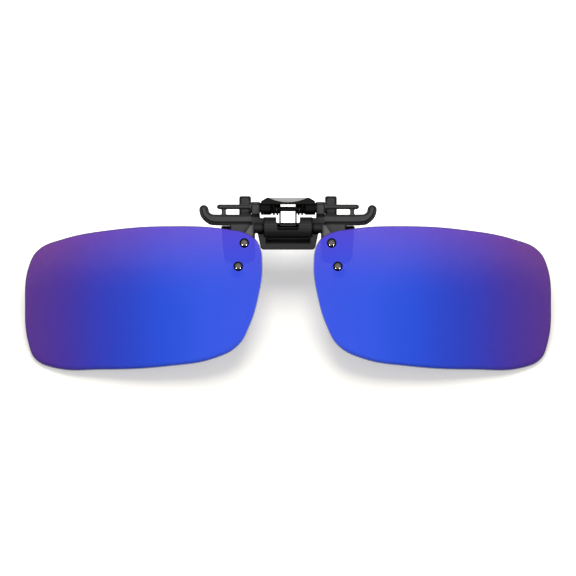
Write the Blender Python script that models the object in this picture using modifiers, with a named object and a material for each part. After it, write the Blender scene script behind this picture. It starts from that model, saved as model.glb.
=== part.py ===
"""Clip-on flip lenses: two mirrored lenses on a flip-up axle, carried by a sprung clip.

Frame: +X to the wearer's left as seen from the front, +Y back towards the wearer, +Z up.
The origin is the middle of the grip, on the plane where the front pads meet the spectacles.
Sizes below are millimetres; every point is turned into metres where a mesh is made.
"""
import math

import bmesh
import bpy
from mathutils import Matrix, Vector

MM = 0.001
SIDES = {"left": -1, "right": 1}

# Fits shared by neighbouring pieces
SEAT_GAP = 0.06
RUNNING_GAP = 0.08
SIDE_GAP = 0.2
SWEEP_GAP = 0.25

# Lenses
LENS_WIDTH = 59.9
LENS_HEIGHT = 36.2
LENS_INNER_X = 6.34
LENS_TOP_Z = 3.53
LENS_THICKNESS = 0.9
LENS_RADIUS = 200.0
LENS_APEX_X = 12.0
LENS_APEX_Z = -9.0
LENS_STANDOFF = 0.36
# Shares of the lens width (from its inner edge) and height (from its top), clockwise from the nose
LENS_OUTLINE = [
    (0.0, 0.263), (0.016, 0.125), (0.055, 0.062), (0.154, 0.021), (0.376, 0.0), (0.635, 0.026),
    (0.851, 0.095), (0.940, 0.160), (0.978, 0.251), (1.0, 0.573), (0.986, 0.811), (0.954, 0.929),
    (0.878, 0.988), (0.677, 1.0), (0.398, 0.976), (0.198, 0.918), (0.103, 0.832), (0.055, 0.697),
    (0.018, 0.501),
]
LENS_GRID = (22, 14)
LENS_SHEET_MARGIN = 1.1
LENS_TRIM_DEPTH = 60.0

# Screws and nuts
UPPER_SCREW_X = 10.97
UPPER_SCREW_Z = -0.75
LOWER_SCREW_X = 12.5
LOWER_SCREW_Z = -6.6
SCREW_POINTS = [("upper", UPPER_SCREW_X, UPPER_SCREW_Z), ("lower", LOWER_SCREW_X, LOWER_SCREW_Z)]
SCREW_RADIUS = 0.6
SCREW_HEAD_RADIUS = 1.22
SCREW_HEAD_HEIGHT = 0.75
SCREW_HEAD_RIM = 0.15
SCREW_HEAD_GAP = 0.12
NUT_ACROSS_FLATS = 2.3
NUT_THICKNESS = 0.8

# Grip: pads, the tongues that carry the front pads and the fingers that carry the rear pads
FRONT_PAD_THICKNESS = 0.7
FRONT_PAD_INNER_X = 8.45
FRONT_PAD_WIDTH = 6.3
FRONT_PAD_TOP_Z = 3.35
FRONT_PAD_HEIGHT = 8.65
PAD_MARGIN = 0.25
TONGUE_THICKNESS = 1.0
PAD_GAP = 0.3
REAR_PAD_THICKNESS = 1.8
REAR_PAD_INNER_X = 8.3
REAR_PAD_WIDTH = 8.6
REAR_PAD_TAPER = 0.9
REAR_PAD_TOP_Z = 3.6
REAR_PAD_HEIGHT = 9.5
PAD_CORNER = 2.2
PAD_TOP_CORNER = 0.4
FINGER_INNER_X = 9.3
FINGER_WIDTH = 3.0
FINGER_THICKNESS = 1.1
FINGER_TOP_Z = 11.1
FINGER_TOP_CORNER = 0.5
FINGER_END_CORNER = 1.0
FINGER_END_MARGIN = 0.4
FINGER_CHAMFER = 0.35

# Lens arms and the flip axle
BRACKET_THICKNESS = 1.0
BRACKET_HALF_WIDTH = 1.4
ARM_HALF_WIDTH = 1.15
NUT_CLEARANCE = 0.3
FLIP_Z = 3.0
FLIP_AXIS_BEHIND_BRACKET = -0.3
KNUCKLE_RADIUS = 1.25
KNUCKLE_INNER_X = 6.3
KNUCKLE_OUTER_X = 8.6
ARM_START_X = 8.75
ARM_START_DROP = 0.2
ARM_ELBOW_X = 9.75
ARM_ELBOW_Z = 1.35
AXLE_RADIUS = 0.7
AXLE_END_MARGIN = 0.3
AXLE_FLAT_DEPTH = 0.08

# Front body: axle barrel, thumb pan, yoke, pivot ears, bars, posts and hooked arms
BARREL_HALF_WIDTH = 6.1
BARREL_WALL = 1.65
BARREL_TOP_Z = 5.75
BARREL_TOP_LENGTH = 1.7
PAN_TOP_HALF_WIDTH = 7.8
PAN_BOTTOM_HALF_WIDTH = 6.75
PAN_TOP_Z = 2.5
PAN_BOTTOM_Z = -2.43
PAN_CORNER = 0.9
PAN_FLOOR_THICKNESS = 1.0
PAN_RIM_DEPTH = 2.3
PAN_RIM_WIDTH = 1.2
PAN_LIP_HEIGHT = 1.6
PAN_HOLLOW_RADIUS = 1.5
PAN_UNDERCUT = 1.6
NOTCH_HALF_WIDTH = 2.95
NOTCH_FLOOR_Z = 4.35
SLOT_HALF_WIDTH = 2.6
SLOT_FLOOR_DROP = 0.4
YOKE_THICKNESS = 1.1
YOKE_BOTTOM_Z = 1.9
EAR_INNER_X = 7.05
EAR_OUTER_X = 9.2
EAR_TOP_Z = 9.6
EAR_BACK_Y = -0.3
EAR_NOSE = 0.7
EAR_CHAMFER = 0.55
BAR_BOTTOM_Z = 7.73
BAR_TOP_Z = 8.96
BAR_TIP_X = 17.9
BAR_FRONT_Y = -2.0
BAR_BACK_Y = -0.4
BAR_CHAMFER = 0.3
POST_INNER_X = 15.6
POST_WIDTH = 1.1
POST_FRONT_Y = -1.7
POST_BACK_Y = -0.6
HOOK_MID_Z = 5.05
HOOK_HALF_HEIGHT = 1.4
HOOK_TIP_X = 21.15
HOOK_TIP_HALF_WIDTH = 1.2
HOOK_TOP_Z = 8.86
HOOK_CHAMFER = 0.7
HOOK_BORDER = 0.6
HOOK_FACE_LIFT = 0.3
HOOK_ROOT_X = 8.6
HOOK_STRAIGHT_END_X = 17.9
HOOK_BEND_X = 19.75
HOOK_BEND_RISE = 0.4
HOOK_RISE_X = 20.85
HOOK_RISE = 1.45

# Clamp pivot, rear jaw lever and its spring
PIVOT_Y = -1.5
PIVOT_Z = 7.81
PIN_RADIUS = 0.6
PIN_END_WALL = 0.3
LEVER_HALF_WIDTH = 6.75
LEVER_TOP_HALF_WIDTH = 5.3
LEVER_SHOULDER_Z = 9.8
LEVER_TOP_Z = 10.64
LEVER_BOTTOM_Z = 8.95
LEVER_FRONT_Y = -5.6
LEVER_BACK_Y = 0.9
SCOOP_RADIUS = 11.4
SCOOP_DEPTH = 1.2
SCOOP_BACK_Y = -0.2
JAW_EAR_INNER_X = 4.3
JAW_EAR_RADIUS = 1.5
HUB_INNER_X = 1.85
HUB_RADIUS = 1.15
JAW_OVERLAP = 0.5
BEAM_BOTTOM_Z = 6.9
BEAM_TOP_Z = 9.4
BEAM_FRONT_Y = 0.35
WIRE_RADIUS = 0.21
COIL_RADIUS = 1.42
COIL_PITCH = 0.88
COIL_TURNS = 1
COIL_EXIT_ANGLE = 310
COIL_START_X = 2.0
COIL_POINTS_PER_TURN = 10
COIL_ROOM = 0.12
LOOP_BEND = 0.4

# Depths worked out from the stack between the grip plane and the lens
TONGUE_BACK_Y = -(FRONT_PAD_THICKNESS + SEAT_GAP)
TONGUE_FRONT_Y = TONGUE_BACK_Y - TONGUE_THICKNESS
NUT_BACK_Y = TONGUE_FRONT_Y - NUT_CLEARANCE
NUT_FRONT_Y = NUT_BACK_Y - NUT_THICKNESS
BRACKET_BACK_Y = NUT_FRONT_Y - SEAT_GAP
BRACKET_FRONT_Y = BRACKET_BACK_Y - BRACKET_THICKNESS
LENS_BACK_Y = BRACKET_FRONT_Y - LENS_STANDOFF
LENS_FRONT_Y = LENS_BACK_Y - LENS_THICKNESS
FLIP_Y = BRACKET_FRONT_Y + FLIP_AXIS_BEHIND_BRACKET
ARM_SWEEP = math.hypot(BRACKET_BACK_Y - FLIP_Y, ARM_HALF_WIDTH) + SWEEP_GAP
HOOK_FRONT_Y = FLIP_Y + ARM_SWEEP
YOKE_BACK_Y = HOOK_FRONT_Y + YOKE_THICKNESS
PAN_FLOOR_Y = FLIP_Y + KNUCKLE_RADIUS + SEAT_GAP
PAN_BACK_Y = PAN_FLOOR_Y + PAN_FLOOR_THICKNESS
PAN_FRONT_Y = PAN_FLOOR_Y - PAN_RIM_DEPTH
PAN_RIM_TOP_Z = FLIP_Z - KNUCKLE_RADIUS - SWEEP_GAP
BARREL_RADIUS = AXLE_RADIUS + RUNNING_GAP + BARREL_WALL
REAR_PAD_BACK_Y = PAD_GAP + REAR_PAD_THICKNESS
FINGER_FRONT_Y = REAR_PAD_BACK_Y + SEAT_GAP
FINGER_BACK_Y = FINGER_FRONT_Y + FINGER_THICKNESS
JAW_EAR_OUTER_X = EAR_INNER_X - SIDE_GAP
SCREW_HOLE_RADIUS = SCREW_RADIUS + SEAT_GAP
AXLE_HALF_LENGTH = KNUCKLE_OUTER_X - AXLE_END_MARGIN
PIN_HALF_LENGTH = EAR_OUTER_X - PIN_END_WALL

ROUND_SIDES = 24
SMALL_ROUND_SIDES = 16
CUT_MARGIN = 2.0

# Columns that stand an outline up: drawn in X and Z, or drawn in Y and Z
FACING_FRONT = Matrix(((1, 0, 0), (0, 0, -1), (0, 1, 0)))
FACING_SIDE = Matrix(((0, 0, 1), (1, 0, 0), (0, 1, 0)))


def start_scene():
    """Empty the file and make two collections: the object's parts, and the shapes that cut or join them."""
    for old in list(bpy.data.objects):
        bpy.data.objects.remove(old, do_unlink=True)
    collections = []
    for name in ("clip_on_flip_lenses", "cutters"):
        collection = bpy.data.collections.new(name)
        bpy.context.scene.collection.children.link(collection)
        collections.append(collection)
    return collections


PARTS, CUTTERS = start_scene()


def finish_mesh(name, mesh):
    """Put a mesh in the scene as a part, smooth over its round faces and sharp at its edges."""
    obj = bpy.data.objects.new(name, mesh)
    PARTS.objects.link(obj)
    mesh.shade_smooth()
    mesh.set_sharp_from_angle(angle=math.radians(35))
    return obj


def mesh_from_curve(name, curve, matrix):
    """Turn a filled or bevelled curve into a closed mesh standing at matrix."""
    holder = bpy.data.objects.new(name + "_curve", curve)
    CUTTERS.objects.link(holder)
    depsgraph = bpy.context.evaluated_depsgraph_get()
    mesh = bpy.data.meshes.new_from_object(holder.evaluated_get(depsgraph))
    bpy.data.objects.remove(holder, do_unlink=True)
    mesh.name = name
    mesh.transform(matrix)
    solid = bmesh.new()
    solid.from_mesh(mesh)
    bmesh.ops.remove_doubles(solid, verts=solid.verts, dist=0.001 * MM)
    bmesh.ops.recalc_face_normals(solid, faces=solid.faces)
    solid.to_mesh(mesh)
    solid.free()
    return mesh


def plate(name, outline, low, high, facing):
    """Extrude an outline between two depths."""
    curve = bpy.data.curves.new(name, "CURVE")
    curve.dimensions = "2D"
    curve.fill_mode = "BOTH"
    curve.extrude = (high - low) / 2 * MM
    spline = curve.splines.new("POLY")
    spline.points.add(len(outline) - 1)
    spline.use_cyclic_u = True
    for point, (u, v) in zip(spline.points, outline):
        point.co = (u * MM, v * MM, 0, 1)
    depth = Vector((0, 1, 0)) if facing is FACING_FRONT else Vector((1, 0, 0))
    matrix = Matrix.Translation(depth * (low + high) / 2 * MM) @ facing.to_4x4()
    return finish_mesh(name, mesh_from_curve(name, curve, matrix))


def chamfered_plate(name, outline, face_outline, front, shoulder, back):
    """Upright plate with a smaller front face: a sloping border runs from it back to the full outline."""
    solid = bmesh.new()
    rings = []
    for points, y in ((face_outline, front), (outline, shoulder), (outline, back)):
        rings.append([solid.verts.new(Vector((x, y, z)) * MM) for x, z in points])
    for near, far in zip(rings, rings[1:]):
        for index in range(len(near)):
            solid.faces.new((near[index - 1], near[index], far[index], far[index - 1]))
    caps = [solid.faces.new(rings[0]), solid.faces.new(rings[-1])]
    bmesh.ops.triangulate(solid, faces=caps)
    bmesh.ops.remove_doubles(solid, verts=solid.verts, dist=0.001 * MM)
    bmesh.ops.recalc_face_normals(solid, faces=solid.faces)
    mesh = bpy.data.meshes.new(name)
    solid.to_mesh(mesh)
    solid.free()
    return finish_mesh(name, mesh)


def cylinder(name, radius, low, high, centre, axis, sides=ROUND_SIDES):
    """A round bar between two places along X or Y, about a centre given in the other two directions."""
    solid = bmesh.new()
    if axis == "X":
        turn = Matrix.Rotation(math.pi / 2, 4, "Y")
        middle = Vector(((low + high) / 2, centre[0], centre[1]))
    else:
        turn = Matrix.Rotation(math.pi / 2, 4, "X")
        middle = Vector((centre[0], (low + high) / 2, centre[1]))
    bmesh.ops.create_cone(
        solid, cap_ends=True, segments=sides, radius1=radius * MM, radius2=radius * MM,
        depth=(high - low) * MM, matrix=Matrix.Translation(middle * MM) @ turn)
    mesh = bpy.data.meshes.new(name)
    solid.to_mesh(mesh)
    solid.free()
    return finish_mesh(name, mesh)


def box(name, x_span, y_span, z_span):
    """A block between two places in each direction."""
    spans = [sorted(span) for span in (x_span, y_span, z_span)]
    middle = Vector([(low + high) / 2 for low, high in spans])
    size = [(high - low) * MM for low, high in spans]
    solid = bmesh.new()
    place = Matrix.Translation(middle * MM) @ Matrix.Diagonal((*size, 1))
    bmesh.ops.create_cube(solid, size=1.0, matrix=place)
    mesh = bpy.data.meshes.new(name)
    solid.to_mesh(mesh)
    solid.free()
    return finish_mesh(name, mesh)


def combine(target, other, operation):
    """Add, subtract or intersect another shape, which is kept as a hidden wire guide."""
    PARTS.objects.unlink(other)
    CUTTERS.objects.link(other)
    other.hide_render = True
    other.display_type = "WIRE"
    modifier = target.modifiers.new(other.name, "BOOLEAN")
    modifier.operation = operation
    modifier.solver = "EXACT"
    modifier.object = other


def rounded(corners, steps=4):
    """Outline through (u, v, radius) corners, each turned into an arc that its sides leave room for."""
    outline = []
    for index, (u, v, radius) in enumerate(corners):
        corner = Vector((u, v))
        before = Vector(corners[index - 1][:2]) - corner
        after = Vector(corners[(index + 1) % len(corners)][:2]) - corner
        if radius == 0:
            outline.append(corner)
            continue
        half = before.angle(after) / 2
        reach = min(radius / math.tan(half), 0.48 * before.length, 0.48 * after.length)
        radius = reach * math.tan(half)
        middle = (before.normalized() + after.normalized()).normalized()
        centre = corner + middle * radius / math.sin(half)
        start = corner + before.normalized() * reach - centre
        turn = math.pi - 2 * half
        if before.cross(after) > 0:
            turn = -turn
        for step in range(steps + 1):
            outline.append(centre + Matrix.Rotation(turn * step / steps, 2) @ start)
    return outline


def smooth_path(points, steps=4):
    """Points along a Catmull-Rom curve through the given ones."""
    ends = [points[0], *points, points[-1]]
    path = []
    for p0, p1, p2, p3 in zip(ends, ends[1:], ends[2:], ends[3:]):
        for step in range(steps):
            t = step / steps
            values = []
            for a, b, c, d in zip(p0, p1, p2, p3):
                values.append(0.5 * (2 * b + (c - a) * t + (2 * a - 5 * b + 4 * c - d) * t ** 2
                                     + (3 * b - a - 3 * c + d) * t ** 3))
            path.append(values)
    path.append(list(points[-1]))
    return path


def ribbon(points, steps=4, cap_steps=6):
    """Outline of a band of changing half width along (u, v, half width) points, with round ends."""
    path = smooth_path(points, steps)
    left, right = [], []
    for index, (u, v, half) in enumerate(path):
        before = Vector(path[max(index - 1, 0)][:2])
        after = Vector(path[min(index + 1, len(path) - 1)][:2])
        along = (after - before).normalized()
        normal = Vector((-along.y, along.x))
        left.append(Vector((u, v)) + normal * half)
        right.append(Vector((u, v)) - normal * half)

    def cap(start, centre):
        spoke = start - Vector(centre)
        turns = [Matrix.Rotation(-math.pi * k / cap_steps, 2) for k in range(1, cap_steps)]
        return [Vector(centre) + turn @ spoke for turn in turns]

    return left + cap(left[-1], path[-1][:2]) + right[::-1] + cap(right[0], path[0][:2])


def mirrored(outline, side):
    """The outline on the given side of the middle plane."""
    return [(side * u, v) for u, v in outline]


def lens_sag(x, z):
    """How far the lens falls back behind its apex at a place on the right-hand lens."""
    return ((x - LENS_APEX_X) ** 2 + (z - LENS_APEX_Z) ** 2) / (2 * LENS_RADIUS)


def lens(side_name, side):
    """A shallow spherical shell, trimmed to the lens outline and drilled for its two screws."""
    name = side_name + "_lens"
    middle_x = LENS_INNER_X + LENS_WIDTH / 2
    middle_z = LENS_TOP_Z - LENS_HEIGHT / 2
    sheet = bmesh.new()
    columns, rows = LENS_GRID
    bmesh.ops.create_grid(sheet, x_segments=columns, y_segments=rows, size=0.5)
    for vert in sheet.verts:
        x = middle_x + vert.co.x * LENS_WIDTH * LENS_SHEET_MARGIN
        z = middle_z + vert.co.y * LENS_HEIGHT * LENS_SHEET_MARGIN
        vert.co = Vector((side * x, LENS_FRONT_Y + lens_sag(x, z), z)) * MM
    if side < 0:
        bmesh.ops.reverse_faces(sheet, faces=sheet.faces)
    mesh = bpy.data.meshes.new(name)
    sheet.to_mesh(mesh)
    sheet.free()
    shell = finish_mesh(name, mesh)
    wall = shell.modifiers.new("thickness", "SOLIDIFY")
    wall.thickness = LENS_THICKNESS * MM
    wall.offset = -1

    curve = bpy.data.curves.new(name + "_outline", "CURVE")
    curve.dimensions = "2D"
    curve.fill_mode = "BOTH"
    curve.resolution_u = 4
    curve.extrude = LENS_TRIM_DEPTH / 2 * MM
    spline = curve.splines.new("BEZIER")
    spline.bezier_points.add(len(LENS_OUTLINE) - 1)
    spline.use_cyclic_u = True
    for point, (across, down) in zip(spline.bezier_points, LENS_OUTLINE):
        x = side * (LENS_INNER_X + across * LENS_WIDTH)
        point.co = (x * MM, (LENS_TOP_Z - down * LENS_HEIGHT) * MM, 0)
        point.handle_left_type = "AUTO"
        point.handle_right_type = "AUTO"
    trim = finish_mesh(name + "_outline", mesh_from_curve(name + "_outline", curve, FACING_FRONT.to_4x4()))
    combine(shell, trim, "INTERSECT")
    for level, x, z in SCREW_POINTS:
        drill_screw_hole(shell, level, side * x, z)
    return shell


def drill_screw_hole(target, level, x, z):
    """Drill one lens screw's clearance hole along Y."""
    low, high = LENS_FRONT_Y - CUT_MARGIN, NUT_BACK_Y + CUT_MARGIN
    name = f"{target.name}_{level}_hole"
    hole = cylinder(name, SCREW_HOLE_RADIUS, low, high, (x, z), "Y", SMALL_ROUND_SIDES)
    combine(target, hole, "DIFFERENCE")


def lens_screw(side_name, side, level, x, z):
    """A screw with a domed head in front of the lens, its shank reaching through to the nut."""
    underside = LENS_FRONT_Y + lens_sag(x, z) - SCREW_HEAD_GAP
    shank_length = NUT_BACK_Y - underside
    profile = [(0, SCREW_HEAD_HEIGHT)]
    dome_steps = 5
    for step in range(1, dome_steps + 1):
        angle = math.pi / 2 * (1 - step / dome_steps)
        height = SCREW_HEAD_RIM + (SCREW_HEAD_HEIGHT - SCREW_HEAD_RIM) * math.sin(angle)
        profile.append((SCREW_HEAD_RADIUS * math.cos(angle), height))
    profile += [(SCREW_HEAD_RADIUS, 0), (SCREW_RADIUS, 0), (SCREW_RADIUS, -shank_length), (0, -shank_length)]
    return turned(f"{side_name}_{level}_screw", profile, (side * x, underside, z))


def turned(name, profile, place):
    """A profile of (radius, height) turned about the Y axis, with its heights running to the front."""
    mesh = bpy.data.meshes.new(name)
    points = [(radius * MM, 0, height * MM) for radius, height in profile]
    mesh.from_pydata(points, [(i, i + 1) for i in range(len(points) - 1)], [])
    obj = finish_mesh(name, mesh)
    obj.location = Vector(place) * MM
    obj.rotation_euler = (math.pi / 2, 0, 0)
    screw = obj.modifiers.new("turn", "SCREW")
    screw.steps = SMALL_ROUND_SIDES
    screw.render_steps = SMALL_ROUND_SIDES
    screw.use_merge_vertices = True
    screw.merge_threshold = 0.001 * MM
    return obj


def lens_nut(side_name, side, level, x, z):
    """A plain hexagon nut behind the lens bracket."""
    corner_radius = NUT_ACROSS_FLATS / 2 / math.cos(math.pi / 6)
    nut = cylinder(f"{side_name}_{level}_nut", corner_radius, NUT_FRONT_Y, NUT_BACK_Y, (side * x, z), "Y", 6)
    drill_screw_hole(nut, level, side * x, z)
    return nut


def lens_arm(side_name, side):
    """Hinge knuckle, a short curved arm and the bracket strip that the lens is screwed to."""
    upper, lower = [Vector(point[1:]) for point in SCREW_POINTS]
    along = (lower - upper).normalized()
    end = lower + along * BRACKET_HALF_WIDTH
    path = [
        (ARM_START_X, FLIP_Z - ARM_START_DROP, ARM_HALF_WIDTH), (ARM_ELBOW_X, ARM_ELBOW_Z, ARM_HALF_WIDTH),
        (*upper, BRACKET_HALF_WIDTH), (*lower, BRACKET_HALF_WIDTH), (*end, BRACKET_HALF_WIDTH),
    ]
    outline = mirrored(ribbon(path), side)
    arm = plate(side_name + "_lens_arm", outline, BRACKET_FRONT_Y, BRACKET_BACK_Y, FACING_FRONT)
    span = sorted((side * KNUCKLE_INNER_X, side * KNUCKLE_OUTER_X))
    knuckle = cylinder(side_name + "_knuckle", KNUCKLE_RADIUS, *span, (FLIP_Y, FLIP_Z), "X")
    combine(arm, knuckle, "UNION")
    bore_end = side * (AXLE_HALF_LENGTH + SEAT_GAP)
    span = sorted((side * (KNUCKLE_INNER_X - CUT_MARGIN), bore_end))
    bore = cylinder(side_name + "_knuckle_bore", AXLE_RADIUS + SEAT_GAP, *span, (FLIP_Y, FLIP_Z), "X")
    combine(arm, bore, "DIFFERENCE")
    for level, x, z in SCREW_POINTS:
        drill_screw_hole(arm, level, side * x, z)
    return arm


def flip_axle():
    """Axle through the barrel, with two flats for the spring to click on: lenses down, lenses up."""
    axle = cylinder("flip_axle", AXLE_RADIUS, -AXLE_HALF_LENGTH, AXLE_HALF_LENGTH, (FLIP_Y, FLIP_Z), "X")
    for label, turn in (("down", 45), ("up", -45)):
        flat = box("axle_flat_" + label, (-SLOT_HALF_WIDTH, SLOT_HALF_WIDTH), (-AXLE_RADIUS, AXLE_RADIUS),
                   (AXLE_RADIUS - AXLE_FLAT_DEPTH, AXLE_RADIUS + 1))
        place = Matrix.Translation(Vector((0, FLIP_Y, FLIP_Z)) * MM)
        flat.data.transform(place @ Matrix.Rotation(math.radians(turn), 4, "X"))
        combine(axle, flat, "DIFFERENCE")
    return axle


def barrel_profile():
    """Side outline of the barrel: a flat top running into a round nose about the axle."""
    profile = [(HOOK_FRONT_Y, BARREL_TOP_Z), (HOOK_FRONT_Y - BARREL_TOP_LENGTH, BARREL_TOP_Z)]
    nose_steps = 10
    for step in range(nose_steps + 1):
        angle = math.radians(100 + step * 170 / nose_steps)
        profile.append((FLIP_Y + BARREL_RADIUS * math.cos(angle), FLIP_Z + BARREL_RADIUS * math.sin(angle)))
    inside_floor = PAN_FLOOR_Y + PAN_FLOOR_THICKNESS / 2
    profile += [(inside_floor, FLIP_Z - BARREL_RADIUS), (inside_floor, YOKE_BOTTOM_Z)]
    profile.append((HOOK_FRONT_Y, YOKE_BOTTOM_Z))
    return profile


def thumb_pan():
    """The tray below the barrel that the thumb pushes up on: a floor, side rims and a lip at the bottom."""
    outline = rounded([
        (-PAN_TOP_HALF_WIDTH, PAN_TOP_Z, PAN_CORNER / 2), (-PAN_BOTTOM_HALF_WIDTH, PAN_BOTTOM_Z, PAN_CORNER),
        (PAN_BOTTOM_HALF_WIDTH, PAN_BOTTOM_Z, PAN_CORNER), (PAN_TOP_HALF_WIDTH, PAN_TOP_Z, PAN_CORNER / 2),
    ])
    pan = plate("thumb_pan", outline, PAN_FRONT_Y, PAN_BACK_Y, FACING_FRONT)
    lip_top_z = PAN_BOTTOM_Z + PAN_LIP_HEIGHT
    far_front = PAN_FRONT_Y - CUT_MARGIN
    hollow_profile = [(far_front, PAN_TOP_Z + CUT_MARGIN), (PAN_FLOOR_Y, PAN_TOP_Z + CUT_MARGIN)]
    arc_steps = 5
    for step in range(arc_steps + 1):
        angle = math.pi / 2 * step / arc_steps
        y = PAN_FLOOR_Y - PAN_HOLLOW_RADIUS * (1 - math.cos(angle))
        z = lip_top_z + PAN_HOLLOW_RADIUS * (1 - math.sin(angle))
        hollow_profile.append((y, z))
    hollow_profile.append((far_front, lip_top_z))
    hollow_half = PAN_BOTTOM_HALF_WIDTH - PAN_RIM_WIDTH
    combine(pan, plate("pan_hollow", hollow_profile, -hollow_half, hollow_half, FACING_SIDE), "DIFFERENCE")
    wide = PAN_TOP_HALF_WIDTH + CUT_MARGIN
    knuckle_room = box("knuckle_room", (-wide, wide), (far_front, PAN_FLOOR_Y),
                       (PAN_RIM_TOP_Z, PAN_TOP_Z + CUT_MARGIN))
    combine(pan, knuckle_room, "DIFFERENCE")
    undercut_profile = [
        (PAN_BACK_Y + CUT_MARGIN, PAN_BOTTOM_Z - CUT_MARGIN),
        (PAN_BACK_Y + CUT_MARGIN, PAN_BOTTOM_Z + PAN_UNDERCUT),
        (PAN_BACK_Y, PAN_BOTTOM_Z + PAN_UNDERCUT), (PAN_FLOOR_Y - PAN_UNDERCUT / 2, PAN_BOTTOM_Z),
        (PAN_FLOOR_Y - PAN_UNDERCUT / 2, PAN_BOTTOM_Z - CUT_MARGIN),
    ]
    combine(pan, plate("pan_undercut", undercut_profile, -wide, wide, FACING_SIDE), "DIFFERENCE")
    return pan


def front_body():
    """One moulding: barrel, thumb pan, yoke, pivot ears, bars, posts, hooked arms and pad tongues."""
    body = plate("front_body", barrel_profile(), -BARREL_HALF_WIDTH, BARREL_HALF_WIDTH, FACING_SIDE)
    combine(body, thumb_pan(), "UNION")
    for side_name, side in SIDES.items():
        for piece in front_body_side(side_name, side):
            combine(body, piece, "UNION")
    front_reach = FLIP_Y - BARREL_RADIUS - CUT_MARGIN
    notch = box("notch", (-NOTCH_HALF_WIDTH, NOTCH_HALF_WIDTH), (front_reach, CUT_MARGIN),
                (NOTCH_FLOOR_Z, BARREL_TOP_Z + CUT_MARGIN))
    slot = box("spring_slot", (-SLOT_HALF_WIDTH, SLOT_HALF_WIDTH), (front_reach, FLIP_Y - SEAT_GAP),
               (FLIP_Z - SLOT_FLOOR_DROP, NOTCH_FLOOR_Z + CUT_MARGIN))
    bore_length = BARREL_HALF_WIDTH + CUT_MARGIN
    bore = cylinder("axle_bore", AXLE_RADIUS + RUNNING_GAP, -bore_length, bore_length, (FLIP_Y, FLIP_Z), "X")
    pin_hole_length = PIN_HALF_LENGTH + SEAT_GAP
    pin_hole = cylinder("pin_hole", PIN_RADIUS + SEAT_GAP, -pin_hole_length, pin_hole_length,
                        (PIVOT_Y, PIVOT_Z), "X")
    for cutter in (notch, slot, bore, pin_hole):
        combine(body, cutter, "DIFFERENCE")
    return body


def front_body_side(side_name, side):
    """The shapes on one side of the front body, from the middle outwards."""
    def span(inner, outer):
        return sorted((side * inner, side * outer))

    yoke = box(side_name + "_yoke", span(NOTCH_HALF_WIDTH + SIDE_GAP, EAR_OUTER_X - SIDE_GAP),
               (HOOK_FRONT_Y - SEAT_GAP, YOKE_BACK_Y), (YOKE_BOTTOM_Z - SIDE_GAP, BARREL_TOP_Z - SIDE_GAP))
    ear_front = HOOK_FRONT_Y - EAR_NOSE
    ear_low = HOOK_MID_Z - HOOK_HALF_HEIGHT / 2
    nose_low = HOOK_MID_Z + HOOK_HALF_HEIGHT / 2
    ear_profile = [
        (HOOK_FRONT_Y + SEAT_GAP, ear_low), (HOOK_FRONT_Y + SEAT_GAP, nose_low),
        (ear_front, nose_low + EAR_NOSE),
        (ear_front, EAR_TOP_Z - EAR_CHAMFER), (ear_front + EAR_CHAMFER, EAR_TOP_Z),
        (EAR_BACK_Y - EAR_CHAMFER, EAR_TOP_Z), (EAR_BACK_Y, EAR_TOP_Z - EAR_CHAMFER), (EAR_BACK_Y, ear_low),
    ]
    ear = plate(side_name + "_ear", ear_profile, *span(EAR_INNER_X, EAR_OUTER_X), FACING_SIDE)
    bar_half = (BAR_TOP_Z - BAR_BOTTOM_Z) / 2
    bar_mid = (BAR_TOP_Z + BAR_BOTTOM_Z) / 2
    bar_path = [(EAR_OUTER_X - bar_half, bar_mid, bar_half), (BAR_TIP_X - bar_half, bar_mid, bar_half)]
    outline = mirrored(ribbon(bar_path, 1), side)
    face_path = [(x, z, half - BAR_CHAMFER) for x, z, half in bar_path]
    face = mirrored(ribbon(face_path, 1), side)
    bar = chamfered_plate(
        side_name + "_bar", outline, face, BAR_FRONT_Y, BAR_FRONT_Y + BAR_CHAMFER, BAR_BACK_Y)
    post_span = span(POST_INNER_X, POST_INNER_X + POST_WIDTH)
    post = box(side_name + "_post", post_span, (POST_FRONT_Y, POST_BACK_Y), (HOOK_MID_Z, bar_mid))
    tip_cap_z = HOOK_TOP_Z - HOOK_TIP_HALF_WIDTH
    hook_path = [
        (HOOK_ROOT_X, HOOK_MID_Z, HOOK_HALF_HEIGHT), (HOOK_STRAIGHT_END_X, HOOK_MID_Z, HOOK_HALF_HEIGHT),
        (HOOK_BEND_X, HOOK_MID_Z + HOOK_BEND_RISE, (HOOK_HALF_HEIGHT + HOOK_TIP_HALF_WIDTH) / 2),
        (HOOK_RISE_X, HOOK_MID_Z + HOOK_RISE, HOOK_TIP_HALF_WIDTH),
        (HOOK_TIP_X, tip_cap_z, HOOK_TIP_HALF_WIDTH),
    ]
    outline = mirrored(ribbon(hook_path), side)
    face_path = [(x, z + HOOK_FACE_LIFT, half - HOOK_BORDER) for x, z, half in hook_path]
    face = mirrored(ribbon(face_path), side)
    hook = chamfered_plate(side_name + "_hook", outline, face, HOOK_FRONT_Y, HOOK_FRONT_Y + HOOK_CHAMFER, 0)
    tongue_bottom = FRONT_PAD_TOP_Z - FRONT_PAD_HEIGHT + PAD_MARGIN
    tongue_width = FRONT_PAD_WIDTH - 2 * PAD_MARGIN
    tongue_inner_x = FRONT_PAD_INNER_X + PAD_MARGIN
    outline = mirrored(pad_outline(tongue_inner_x, tongue_width, HOOK_MID_Z, tongue_bottom, 0), side)
    tongue = plate(side_name + "_tongue", outline, TONGUE_FRONT_Y, TONGUE_BACK_Y, FACING_FRONT)
    return yoke, ear, bar, post, hook, tongue


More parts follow.
